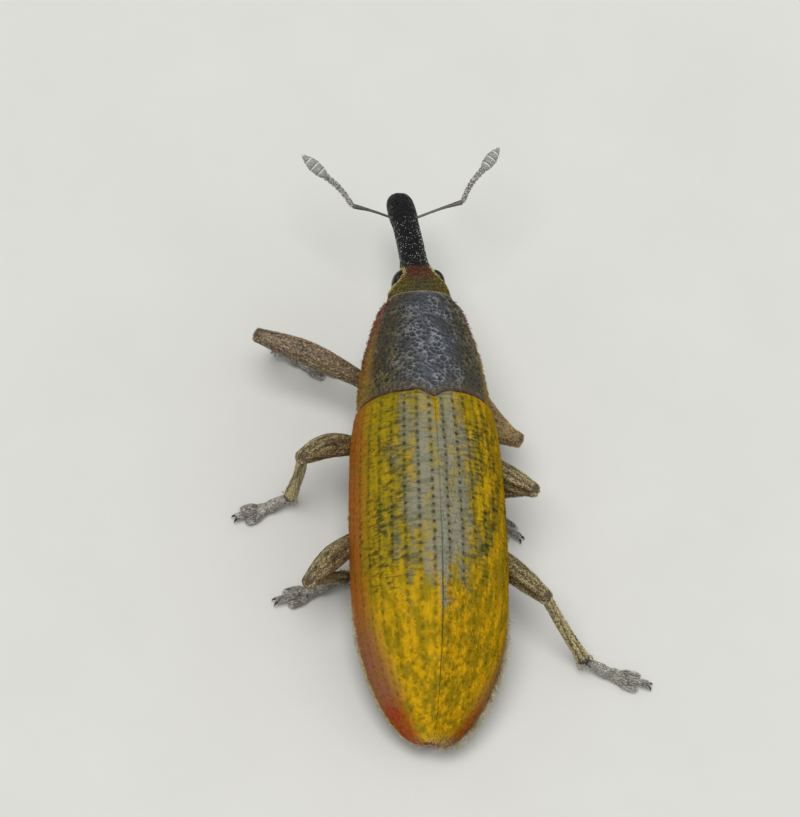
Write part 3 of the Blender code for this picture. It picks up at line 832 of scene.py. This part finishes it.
def case_ring(y):
    """The wing case's section at a station: points from seam to edge, and how far along it each lies."""
    key = round(y, 4)
    if key not in CASE_RINGS:
        half_width, top, level, edge, bottom = along(BODY_STATIONS, y)
        flank = math.asin(min((level - edge) / (level - bottom), 1) ** 1.1)
        points = []
        for i in range(CASE_RING_STEPS + 1):
            across, up = oval(math.pi / 2 - (math.pi / 2 + flank) * i / CASE_RING_STEPS)
            rise = top - level if up > 0 else level - bottom
            points.append(Vector((half_width * across, level + up * rise)))
        CASE_RINGS[key] = (points, distances(points))
    return CASE_RINGS[key]


def case_point(y, across):
    """A point of the wing case's outer surface, by its share of the way from the seam to the edge."""
    points, lengths = case_ring(y)
    goal = across * lengths[-1]
    i = min(max(sum(1 for l in lengths if l <= goal) - 1, 0), len(points) - 2)
    t = (goal - lengths[i]) / (lengths[i + 1] - lengths[i])
    return points[i].lerp(points[i + 1], t)


def case_shape(side):
    """A wing case: its arched outer skin, and a fold under it that closes it above the body."""

    def shape(share, turn):
        y = case_station(share)
        if turn <= CASE_OUTER_SHARE:
            x, z = case_point(y, turn / CASE_OUTER_SHARE)
        else:
            x, z = case_point(y, 1)
            inward = (turn - CASE_OUTER_SHARE) / (1 - CASE_OUTER_SHARE)
            top_z = case_point(y, 0)[1]
            x *= max(1 - 2 * inward, 0)
            if inward < 0.5:
                z += 0.15 * ease(0, 0.2, inward)
            else:
                z += 0.15 + (top_z - z - 0.2) * (2 * inward - 1)
        x = max(x, CASE_SEAM_GAP)
        groove = (0.012 + 0.018 * ease(0.4, 0.7, share)) * bell(x, 0.04) if turn < 0.5 else 0
        y += seam(x) * (1 - ease(0.0, SEAM_REACH, -y))
        tuck = 1 - 0.05 * ease(0.22, 0.0, -(y - seam(x)))
        x, z = max(x * tuck, CASE_SEAM_GAP), z * tuck
        middle = Vector((0.5 * case_point(y, 0.7)[0], y, z))
        close = ease(0, 0.004, share) * math.sqrt(max(1 - ease(0.984, 1.0, share), 0))
        point = middle.lerp(Vector((x, y, z - groove)), close)
        return Vector((side * max(point.x, CASE_SEAM_GAP), point.y, point.z))

    return shape


def case_relief(side):
    """Rows of pits in furrows, cross wrinkles between them, and small lumps."""

    def relief(share, turn, point):
        if turn > CASE_OUTER_SHARE:
            return 0.0, {"pit": 0.0, "seam": 0.0, "row": 0.0}
        across = turn / CASE_OUTER_SHARE
        row = across * CASE_ROWS - 0.55
        nearest = round(row)
        off_row = (row - nearest) * case_ring(case_station(share))[1][-1] / CASE_ROWS
        step = point.y / CASE_PIT_STEP + nearest * 0.37 + 0.25 * grain((nearest * 3.1, point.y, side), 0.9)
        off_pit = (step - round(step)) * CASE_PIT_STEP
        drift = 0.02 * grain((nearest, round(step) * 1.7, side), 0.7)
        size = 0.05 + 0.02 * grain((nearest, round(step) * 2.3, side * 2), 0.6)
        far = math.hypot(off_row + drift, off_pit * 0.85)
        fade = ease(0.0, 0.03, share) * ease(0.985, 0.90, share) * ease(0.97, 0.80, across)
        pit = (1 - ease(size * 0.5, size * 1.35, far)) * fade if 0 <= nearest < CASE_ROWS else 0.0
        furrow = bell(off_row, 0.07) * 0.010 * fade
        wrinkle = grain((point.x * 0.4, point.y * 1.1, point.z * 0.4), 0.13) * 0.008
        lumps_here = grain(point, 0.4) * 0.012 + grain(point, 0.08) * 0.006
        height = (lumps_here + wrinkle) * ease(1.0, 0.9, across) - furrow - CASE_PIT_DEPTH * pit
        # Where shade is painted along the seam between the wing cases, towards the rear.
        seam_shade = 0.7 * bell(across, 0.004) * ease(0.3, 0.6, share)
        return height, {"pit": pit, "seam": seam_shade, "row": bell(off_row, 0.06) * fade}

    return relief


UNDERSIDE_RINGS = {}


def underside_shape(share, turn):
    """The sterna and the belly's ventrites, up to the wing cases' edge; its top is hidden under them."""
    y = 0.05 + (UNDERSIDE_END - 0.05) * share
    if share not in UNDERSIDE_RINGS:
        UNDERSIDE_RINGS[share] = along(BODY_STATIONS, y)
    half_width, top, level, _, bottom = UNDERSIDE_RINGS[share]
    across, up = oval(2 * math.pi * turn)
    shrink = ease(0, 0.012, share) ** 0.5 * (1 - ease(0.95, 1.0, share)) ** 0.5
    rise = 0.35 * (top - level) if up > 0 else level - bottom - 0.02
    return Vector(((half_width - 0.07) * across * shrink, y, level + up * rise * shrink))


def underside_relief(share, turn, point):
    """Fine pits, wavy grooves between the segments and one along the middle of the thorax."""
    height = grain(point, 0.1) * 0.012 - (1 - pit_net(point, 0.15, 0.4)) * 0.015
    for end in SEGMENT_ENDS:
        height -= 0.07 * bell(point.y - end + 0.04 * grain((point.x, 0, 0), 0.6), 0.045)
        height += 0.025 * ease(0.5, 0.0, point.y - end) * (point.y > end)
    return height - 0.05 * bell(point.x, 0.05) * (point.y > THORAX_END), {}


# The head and snout

def snout_axis(distance):
    """The centre line of head and snout, and its direction, at a distance from the head's back."""
    y, z = HEAD_BACK, 0.0
    steps = 40
    for i in range(steps):
        drop = snout_drop(distance * (i + 0.5) / steps)
        y += math.cos(drop) * distance / steps
        z -= math.sin(drop) * distance / steps
    drop = snout_drop(distance)
    return Vector((0, y, z)), Vector((0, math.cos(drop), -math.sin(drop)))


def snout_drop(distance):
    """The angle by which the centre line points down."""
    if distance < SNOUT_START:
        return SNOUT_DROP[0] * 0.55 * ease(0.3, SNOUT_START, distance)
    share = (distance - SNOUT_START) / SNOUT_LENGTH
    return SNOUT_DROP[0] + (SNOUT_DROP[1] - SNOUT_DROP[0]) * share


HEAD_RINGS = {}
HEAD_LENGTH = SNOUT_START + SNOUT_LENGTH


def head_shape(share, turn):
    distance = HEAD_LENGTH * share
    if share not in HEAD_RINGS:
        HEAD_RINGS[share] = (*snout_axis(distance), along(HEAD_STATIONS, distance))
    centre, ahead, (half_width, rise, fall) = HEAD_RINGS[share]
    up = Vector((1, 0, 0)).cross(ahead)
    across, height = oval(2 * math.pi * turn, HEAD_SECTION_POWER)
    shrink = ease(0, 0.01, share) ** 0.5 * math.sqrt(max(1 - ease(0.975, 1.0, share), 0))
    offset = height * (rise if height > 0 else fall)
    return centre + Vector((half_width * across * shrink, 0, 0)) + up * (offset * shrink)


def head_relief(share, turn, point):
    """Crowded pits, the feeler grooves at the sides, a low keel on the snout and a dimple at its root."""
    distance = HEAD_LENGTH * share
    net = pit_net(point, SNOUT_PIT if distance > SNOUT_START else HEAD_PIT, 0.5)
    side = abs(math.cos(2 * math.pi * turn))
    upper = math.sin(2 * math.pi * turn)
    groove = bell(upper + 0.15, 0.22) * ease(1.6, 2.1, distance) * (1 - ease(3.35, 3.65, distance)) * side
    on_snout = ease(1.5, 1.9, distance) * (1 - ease(3.2, 3.8, distance))
    keel = bell(side, 0.10) * ease(0.2, 0.5, upper) * on_snout
    dimple = bell(distance - 1.15, 0.07) * bell(side, 0.10) * ease(0, 0.5, upper)
    height = (net - 0.7) * 0.018 + grain(point, 0.06) * 0.004 - 0.07 * groove + 0.02 * keel - 0.03 * dimple
    snout = ease(1.12, 1.40, distance + 0.12 * grain(point, 0.3))
    rust = ease(0.70, 0.98, distance + 0.15 * grain(point, 0.25) + 0.1 * (1 - side))
    return height, {"net": net, "snout": snout, "rust": rust}


def mandible(side):
    """One of the two small jaws at the tip of the snout."""
    tip, ahead = snout_axis(HEAD_LENGTH)
    start = tip - ahead * 0.1 + Vector((side * 0.12, 0, -0.02))
    end = tip + ahead * 0.10 + Vector((side * 0.05, 0, -0.05))
    return limb([start, end], ((0, 0.1), (0.6, 0.08), (1, 0.03)), 16, 10)


def eye_mesh(side):
    """An oval lens set low in the head, its long axis upright."""
    tilt = Matrix.Rotation(side * EYE_TURN, 4, "Z") @ Matrix.Rotation(side * EYE_LEAN, 4, "Y")
    matrix = HEAD_STANCE @ Matrix.Translation((side * EYE_PLACE[0], *EYE_PLACE[1:])) @ tilt
    return moved(sphere(48, 32), matrix @ Matrix.Diagonal((*EYE_RADII, 1)))


# The feelers

def toward(start, end, distance):
    """The point at a distance from the start on the way to the end."""
    return start + (end - start).normalized() * distance


def feeler_joints(name):
    """Root, elbow, and base and tip of the club."""
    elbow, club, tip = (FLOOR_STANCE @ Vector(p) for p in FEELERS[name])
    centre = HEAD_STANCE @ snout_axis(SNOUT_START + SNOUT_LENGTH * FEELER_ROOT_SHARE)[0]
    root = toward(centre, elbow, 0.33)
    return root, elbow, club, tip


def bead_relief(share, turn, point):
    return grain(point, 0.04) * 0.004, {}


def club_relief(share, turn, point):
    """A groove at each border between the club's rings, and a pale band before it."""
    ring = share * CLUB_RINGS
    off = ring - round(ring)
    groove = bell(off, RING_GROOVE_WIDTH) if 0.4 < ring < CLUB_RINGS - 0.4 else 0.0
    band = bell(off + 1.8 * RING_GROOVE_WIDTH, RING_GROOVE_WIDTH)
    return grain(point, 0.05) * 0.004 - RING_GROOVE_DEPTH * groove, {"joint": groove, "ring": band}


def scape_mesh(name):
    root, elbow = feeler_joints(name)[:2]
    middle = root.lerp(elbow, 0.55) + Vector((0, 0, 0.05))
    radii = ((0.0, 0.045), (0.1, 0.038), (0.6, 0.045), (0.85, 0.068), (1.0, 0.08))
    return limb([root, middle, elbow], radii, 16, 48, relief=bead_relief)


FUNICLE_BEADS = (1.7, 1.35, 0.9, 0.85, 0.85, 0.9, 1.0)
FUNICLE_BEND = {"left": 0.08, "right": -0.08}


def funicle_mesh(name):
    """Seven beads, the first two longer, on a slightly bent line from the elbow to the club."""
    elbow, club = feeler_joints(name)[1:3]
    bend = (club - elbow).cross(Vector((0, 0, 1))).normalized() * FUNICLE_BEND[name]
    beads = []
    done = 0.0
    for i, size in enumerate(FUNICLE_BEADS):
        a, b = (
            elbow.lerp(club, share) + bend * math.sin(math.pi * share)
            for share in (done / sum(FUNICLE_BEADS), (done + size) / sum(FUNICLE_BEADS))
        )
        done += size
        a, b = a.lerp(b, -0.12), b.lerp(a, -0.12)
        wide = 0.08 + 0.004 * i
        radii = ((0.0, wide * 0.6), (0.25, wide * 0.85), (0.72, wide), (1.0, wide * 0.7))
        beads.append(limb([a, b], radii, 18, 14, relief=bead_relief, close=0.9))
    return joined(beads)


def club_mesh(name):
    club, tip = feeler_joints(name)[2:]
    radii = ((0.0, 0.09), (0.15, 0.145), (0.42, 0.18), (0.6, 0.17), (0.82, 0.10), (1.0, 0.03))
    return limb([toward(club, tip, -0.05), tip], radii, 32, 48, relief=club_relief, close=0.8)


# The legs

def leg_joints(name):
    """Coxa, knee, ankle and toe."""
    coxa, knee, ankle, toe = LEGS[name]
    return STANCE @ Vector(coxa), *(FLOOR_STANCE @ Vector(point) for point in (knee, ankle, (*toe, 0.0)))


def leg_relief(dark):
    """Fine lumps and pits, with the dark round the joints by a function of share, turn and point."""

    def relief(share, turn, point):
        pits = 1 - pit_net(point, LEG_PIT, 0.5)
        return grain(point, 0.1) * 0.008 - pits * 0.010, {"joint": dark(share, turn, point)}

    return relief


def coxa_mesh(name):
    coxa, knee = leg_joints(name)[:2]
    path = [toward(coxa, knee, -0.46), toward(coxa, knee, 0.75)]
    radii = ((0.0, 0.3), (0.3, 0.47), (0.55, 0.44), (0.75, 0.29), (1.0, 0.25))
    return limb(path, radii, 36, 30, relief=leg_relief(lambda s, t, p: bell(s - 0.72, 0.05)), close=0.8)


def femur_mesh(name):
    """Slim at the trochanter, club-shaped in its outer half and pinched before the rounded knee."""
    coxa, knee, ankle, _ = leg_joints(name)
    start, end = toward(coxa, knee, 0.55), toward(knee, coxa, -0.14)
    shin = (ankle - knee).normalized()
    up = -(shin - shin.project(end - start)).normalized()
    forward = (end - start).cross(Vector((0, 0, 1))).normalized() * FEMUR_FORWARD.get(name, 0.0)
    middle = start.lerp(end, 0.55) + up * 0.07 + forward
    radii = ((0.0, 0.2), (0.12, 0.24), (0.35, 0.335), (0.55, 0.385), (0.75, 0.345), (0.9, 0.27), (1.0, 0.22))

    def dark(share, turn, point):
        return max(bell((point - (knee + up * 0.12)).length, 0.11), 0.8 * bell(share, 0.03))

    return limb([start, middle, end], radii, 48, 80, flatten=0.9, relief=leg_relief(dark))


def tibia_mesh(name):
    """A slightly curved shin that widens to a spined end with a hooked spur inside."""
    coxa, knee, ankle, _ = leg_joints(name)
    thigh = (coxa - knee).normalized()
    inner = (thigh - thigh.project(ankle - knee)).normalized()
    down = (ankle - knee).normalized()
    start = toward(knee, ankle, -0.05) + inner * 0.02
    path = [start, start.lerp(ankle, 0.5) + inner * 0.05, toward(ankle, knee, -0.04)]
    radii = ((0.0, 0.14), (0.1, 0.15), (0.3, 0.15), (0.7, 0.165), (0.9, 0.205), (1.0, 0.23))
    relief = leg_relief(lambda s, t, p: max(0.9 * bell(s, 0.05), 0.85 * bell(s - 1, 0.06)))
    parts = [limb(path, radii, 40, 70, flatten=0.92, relief=relief, close=0.5)]
    root = ankle + inner * 0.16 - down * 0.05
    path = [root, root + down * 0.14 + inner * 0.02, root + down * 0.2 + inner * 0.12]
    parts.append(limb(path, ((0, 0.06), (0.5, 0.045), (1, 0.01)), 12, 12, relief=even_dark(0.9)))
    across = inner.cross(down)
    for i in range(TIBIA_SPINES):
        angle = math.radians(-120 + 30 * i)
        root = ankle - down * 0.03 - inner * (0.23 * math.cos(angle)) + across * (0.23 * math.sin(angle))
        tip = root + down * 0.11 + (root - ankle).normalized() * 0.05
        parts.append(limb([root, tip], ((0, 0.018), (1, 0.005)), 6, 5, relief=even_dark(0.6)))
    return joined(parts)


def even_dark(amount):
    """No relief, and the same dark mark all over."""
    return lambda share, turn, point: (0.0, {"joint": amount})


def foot_frame(name):
    """The foot's root, and a function for the points along it by share of its length, height and side."""
    ankle, toe = leg_joints(name)[2:]
    root = toward(ankle, toe, 0.05)
    flat = Vector((toe.x - root.x, toe.y - root.y, 0))
    length = flat.length
    flat.normalize()
    side = flat.cross(Vector((0, 0, 1)))

    def spot(share, height, across=0.0):
        return Vector((root.x, root.y, height)) + flat * (length * share) + side * across

    return root, spot


def wedge_relief(share, turn, point):
    return grain(point, 0.07) * 0.006, {"joint": max(bell(share, 0.10), 0.7 * bell(share - 1, 0.05))}


def foot_mesh(name):
    """Two wedge-shaped segments, a broad two-lobed one and the slim claw segment."""
    root, spot = foot_frame(name)
    parts = []
    for start, end, wide, flat in (
        (root, spot(0.36, 0.20), 0.165, 1.15),
        (spot(0.30, 0.23), spot(0.52, 0.16), 0.16, 1.3),
        (spot(0.46, 0.19), spot(0.60, 0.13), 0.13, 1.2),
    ):
        path = [start, start.lerp(end, 0.5) + Vector((0, 0, 0.03)), end]
        radii = ((0.0, wide * 0.5), (0.3, wide * 0.75), (0.85, wide), (1.0, wide * 0.8))
        parts.append(limb(path, radii, 28, 24, relief=wedge_relief, flatten=flat))
    dark = leg_relief(lambda s, t, p: 0.5 * ease(0.4, 0.9, math.sin(2 * math.pi * t)))
    for side in (-1, 1):
        path = [spot(0.47, 0.17, side * 0.06), spot(0.62, 0.165, side * 0.17), spot(0.80, 0.13, side * 0.22)]
        radii = ((0.0, 0.08), (0.4, 0.11), (0.85, 0.10), (1.0, 0.07))
        parts.append(limb(path, radii, 28, 30, relief=dark, flatten=1.25, close=0.9))
    slim = ((0.0, 0.07), (0.3, 0.075), (0.75, 0.105), (1.0, 0.10))
    path = [spot(0.55, 0.20), spot(0.74, 0.27), spot(0.95, 0.25)]
    parts.append(limb(path, slim, 20, 30, relief=leg_relief(lambda s, t, p: 0.2 + 0.6 * bell(s - 1, 0.12))))
    return joined(parts)


def claws_mesh(name):
    spot = foot_frame(name)[1]
    claws = []
    for side in (-1, 1):
        path = [spot(0.93, 0.25, side * 0.04), spot(0.98, 0.22, side * 0.08), spot(1.0, 0.10, side * 0.10)]
        claws.append(limb(path, ((0.0, 0.045), (0.4, 0.035), (1.0, 0.01)), 14, 24))
    return joined(claws)


# Where the trunk's hairs grow and how long they are

def low_on_sides(points, normals, lay):
    return np.clip((0.50 - normals[:, 2]) * 3, 0.0, 1) * (lay[:, 1] > 0.03) * (lay[:, 1] < 0.93)


def rust_there(points, normals, lay):
    warm = lay[:, 1] - 0.2 * points[:, 0] / PROTHORAX_HALF
    return low_on_sides(points, normals, lay) * np.clip((warm - 0.35) * 3, 0, 1)


def gold_there(points, normals, lay):
    warm = lay[:, 1] - 0.2 * points[:, 0] / PROTHORAX_HALF
    return low_on_sides(points, normals, lay) * np.clip((0.75 - warm) * 3, 0.03, 1)


def thick_with_powder(points, normals, lay):
    bare = np.clip((0.55 - lay[:, 0]) * 4, 0, 1) * np.clip((0.62 - lay[:, 1]) * 6, 0, 1)
    return (lay[:, 0] < 0.995) * (1.0 - 0.75 * bare)


def longer_at_the_end(points, normals, lay):
    return 0.12 + 0.06 * np.clip((lay[:, 1] - 0.9) * 10, 0, 1) + 0.06 * (lay[:, 0] > 0.9)


def on_rear_margin(points, normals, lay):
    return (lay[:, 0] > 0.84) * (lay[:, 0] < 0.98) * np.clip((lay[:, 1] - 0.55) * 4, 0, 1)


def facing_down(points, normals, lay):
    return np.clip(0.3 - normals[:, 2], 0.0, 1)


def case_mesh(side):
    """A wing case whose map holds the shares of the way from the seam to the edge and to the rear."""
    bm = moved(wrapped(136, 280, case_shape(side), case_relief(side), "Case"), STANCE)
    layer = bm.loops.layers.uv["Case"]
    for face in bm.faces:
        for loop in face.loops:
            turn, share = loop[layer].uv
            loop[layer].uv = (turn / CASE_OUTER_SHARE if turn < CASE_OUTER_SHARE else 1.0, share)
    return bm


def build_trunk():
    pale = plain_hair("pale_hair", "9C8A5A", "D8C890")
    rusty = plain_hair("rust_hair", "52220E", "9C5624")
    golden = plain_hair("golden_hair", "6E5812", "B89420")
    skin = moved(wrapped(440, 200, prothorax_shape, prothorax_relief), STANCE)
    shell = piece("pronotum_skin", skin, pronotum_cuticle(), "prothorax_cuticle", "prothorax")
    for name, paint, chance, seed in (("rust", rusty, rust_there, 11), ("golden", golden, gold_there, 12)):
        coat("pronotum_" + name + "_hair", shell, "prothorax_cuticle", paint, BACKWARD, count=5500,
             length=0.12, thickness=0.014, seed=seed, lift=0.3, sway=0.4, chance=chance)
    powder, powder_hair = wing_case_powder(), wing_case_hair()
    cream = plain_hair("cream_fringe_hair", "B8A878", "E8DCB8")
    slot = "wing_case_powder"
    for side, name in ((-1, "left"), (1, "right")):
        case = piece("wing_case_" + name, case_mesh(side), powder, slot, "elytron_" + name)
        coat("rear_fringe_" + name, case, slot, cream, BACKWARD, count=1600, length=0.2, thickness=0.016,
             seed=25 + side, lift=0.95, chance=on_rear_margin)
        coat("wing_case_hair_" + name, case, slot, powder_hair, BACKWARD, count=15000,
             length=longer_at_the_end, thickness=0.016, seed=21 + side, lift=0.16, sway=0.22,
             chance=thick_with_powder)
    skin = moved(wrapped(180, 260, underside_shape, underside_relief), STANCE)
    under = piece("underside_skin", skin, underside_cuticle(), "underside_cuticle", "thorax", "abdomen")
    coat("underside_hair", under, "underside_cuticle", pale, BACKWARD, count=9000, length=0.2,
         thickness=0.022, seed=31, lift=0.2, chance=facing_down)


def build_head():
    yellow = plain_hair("mustard_hair", "4E4216", "A08A34")
    pale = plain_hair("pale_snout_scale", "9A9A90", "F0F0E4")
    cream = plain_hair("cream_scale", "B0A050", "E0D8A0")
    skin = joined([wrapped(150, 300, head_shape, head_relief), mandible(-1), mandible(1)])
    slot = "head_cuticle"
    head = piece("head_and_snout", moved(skin, HEAD_STANCE), head_cuticle(), slot, "head", "rostrum")
    lens = eye_lens()
    for side, name in ((-1, "left"), (1, "right")):
        piece("eye_lens_" + name, eye_mesh(side), lens, "eye", "eye_" + name)
    eyes = np.array([(HEAD_STANCE @ Vector((side * EYE_PLACE[0], *EYE_PLACE[1:])))[:] for side in (-1, 1)])

    def on_the_head(points, normals, lay):
        distance = lay[:, 1] * HEAD_LENGTH
        beside = 0.2 + 0.8 * np.clip(np.abs(points[:, 0] - eyes.mean(axis=0)[0]) * 3 - 0.6, 0, 1)
        chance = np.clip((1.15 - distance) * 3, 0.0, 1) * beside
        for eye in eyes:
            chance = chance * (np.linalg.norm(points - eye, axis=1) > EYE_RADII[2])
        return chance

    def round_the_eyes(points, normals, lay):
        far = np.min([np.linalg.norm(points - eye, axis=1) for eye in eyes], axis=0)
        return np.exp(-(((far - 0.42) / 0.05) ** 2)) + 1e-6

    def on_the_snout(points, normals, lay):
        distance = lay[:, 1] * HEAD_LENGTH
        return np.clip((distance - 1.2) * 3, 0.0, 1) * np.clip((3.5 - distance) * 2, 0.01, 1)

    for name, paint, chance, count, length, thickness, seed, lift in (
        ("head_hair", yellow, on_the_head, 3000, 0.10, 0.016, 41, 0.2),
        ("eye_rim_scales", cream, round_the_eyes, 600, 0.07, 0.022, 43, 0.3),
        ("snout_scales", pale, on_the_snout, 560, 0.026, 0.022, 42, 0.1),
    ):
        coat(name, head, slot, paint, BACKWARD, count=count, length=length, thickness=thickness, seed=seed,
             lift=lift, sway=0.5, chance=chance)


def build_feelers():
    stalk, felt = feeler_cuticle(), club_cuticle()
    down = plain_hair("white_down", "A8A69C", "FAF8F0", 0.1)
    for name in FEELERS:
        elbow, _, tip = feeler_joints(name)[1:]
        outward = lying((tip - elbow).normalized())
        piece("feeler_stalk_" + name, scape_mesh(name), stalk, "feeler_cuticle", "scape_" + name)
        beads = piece("feeler_beads_" + name, funicle_mesh(name), stalk, "feeler_cuticle", "funicle_" + name)
        club = piece("feeler_club_" + name, club_mesh(name), felt, "club_down", "club_" + name)
        coat("feeler_hair_" + name, beads, "feeler_cuticle", down, outward, count=2000, length=0.08,
             thickness=0.012, seed=51, lift=0.35)
        coat("club_down_" + name, club, "club_down", down, outward, count=1300, length=0.05,
             thickness=0.008, seed=52, lift=0.2)


# Where the legs' hairs grow and how long they are

def not_at_the_ankle(points, normals, lay):
    return (lay[:, 1] < 0.93) * (lay[:, 1] > 0.05) * 1.0


def above_floor(points, normals, lay):
    return (points[:, 2] > 0.08) * (lay[:, 1] > 0.2) * 1.0


KNEE_TOP = Vector((0, 0, 0.12))


def away_from(spot):
    """Hairs all over but near a place."""
    spot = np.array(spot[:])
    return lambda points, normals, lay: (np.linalg.norm(points - spot, axis=1) > 0.15) * 1.0


def shorter_at_the_end(length):
    """Hairs of a length that is less near the far end of the limb."""
    return lambda points, normals, lay: length * (1 - 0.6 * np.clip((lay[:, 1] - 0.72) * 5, 0, 1))


def build_legs():
    cuticle, foot, horn = leg_cuticle(), foot_cuticle(), claw_horn()
    tan = leg_hair()
    white = plain_hair("white_foot_hair", "9C988C", "E4E0D4", 0.2)
    for index, name in enumerate(LEGS):
        coxa, knee, ankle, toe = leg_joints(name)
        parts = (
            ("coxa_", coxa_mesh, knee - coxa, 500, 0.12, None),
            ("femur_", femur_mesh, knee - coxa, 5200, 0.2, away_from(knee + KNEE_TOP)),
            ("tibia_", tibia_mesh, ankle - knee, 3200, 0.16, not_at_the_ankle),
        )
        for number, (part, mesh, axis, count, length, chance) in enumerate(parts):
            skin = piece(part + "skin_" + name, mesh(name), cuticle, "leg_cuticle", part + name)
            coat(part + "hair_" + name, skin, "leg_cuticle", tan, lying(axis.normalized()), count=count,
                 length=shorter_at_the_end(length), thickness=0.018, seed=100 + 10 * index + number,
                 lift=0.12, sway=0.13, chance=chance)
        pads = piece("foot_" + name, foot_mesh(name), foot, "foot_cuticle", "tarsus_" + name)
        coat("foot_hair_" + name, pads, "foot_cuticle", white, lying((toe - ankle).normalized()), count=1900,
             length=0.11, thickness=0.014, seed=200 + index, lift=0.1, sway=0.2, chance=above_floor)
        piece("claws_" + name, claws_mesh(name), horn, "foot_cuticle")


# The set and the camera

VIEW_FROM = Vector((-0.1774, -0.4921, 0.8523)).normalized()
VIEW_ROLL = math.radians(18.93)
VIEW_DISTANCE = 150.0
VIEW_AIM = Vector((-1.778, -0.118, 4.508))
PICTURE = (800, 817)
FOCAL_PIXELS = 5055
SENSOR = 36.0
FLOOR_SIZE = 400
# Soft lights: name, strength, apparent size in degrees, and the way it shines.
LIGHTS = (("key", 2.1, 35, (0.25, 0.15, -0.95)), ("fill", 0.5, 90, (-0.7, 0.4, -0.6)))
SKY_COLOUR = (0.9, 0.95, 1.0, 1)
SKY_STRENGTH = 0.42


def in_scene(name, data):
    obj = bpy.data.objects.new(name, data)
    bpy.context.scene.collection.objects.link(obj)
    return obj


def build_set():
    bm = bmesh.new()
    bmesh.ops.create_grid(bm, x_segments=1, y_segments=1, size=FLOOR_SIZE * MM)
    mesh = bpy.data.meshes.new("floor")
    bm.to_mesh(mesh)
    bm.free()
    mesh.materials.append(floor_paint())
    floor = in_scene("floor", mesh)
    for name, strength, size, shines in LIGHTS:
        light = bpy.data.lights.new(name, "SUN")
        light.energy = strength
        light.angle = math.radians(size)
        obj = in_scene(name, light)
        obj.rotation_mode = "QUATERNION"
        obj.rotation_quaternion = Vector(shines).to_track_quat("-Z", "Y")
    world = bpy.data.worlds.new("studio")
    world.use_nodes = True
    sky = world.node_tree.nodes["Background"]
    sky.inputs["Color"].default_value = SKY_COLOUR
    sky.inputs["Strength"].default_value = SKY_STRENGTH
    bpy.context.scene.world = world
    bpy.context.scene.view_settings.view_transform = "Standard"


def build_camera():
    camera = bpy.data.cameras.new("camera")
    camera.sensor_width = SENSOR
    camera.lens = FOCAL_PIXELS / PICTURE[1] * SENSOR
    camera.clip_start = 10 * MM
    camera.clip_end = 2.0
    right = Vector((0, 0, 1)).cross(VIEW_FROM).normalized()
    level = Matrix((right, VIEW_FROM.cross(right), VIEW_FROM)).transposed().to_4x4()
    place = Matrix.Translation((VIEW_AIM + VIEW_FROM * VIEW_DISTANCE) * MM)
    obj = in_scene("camera", camera)
    obj.matrix_world = place @ level @ Matrix.Rotation(VIEW_ROLL, 4, "Z")
    bpy.context.scene.camera = obj


build_set()
build_camera()
build_trunk()
build_head()
build_feelers()
build_legs()
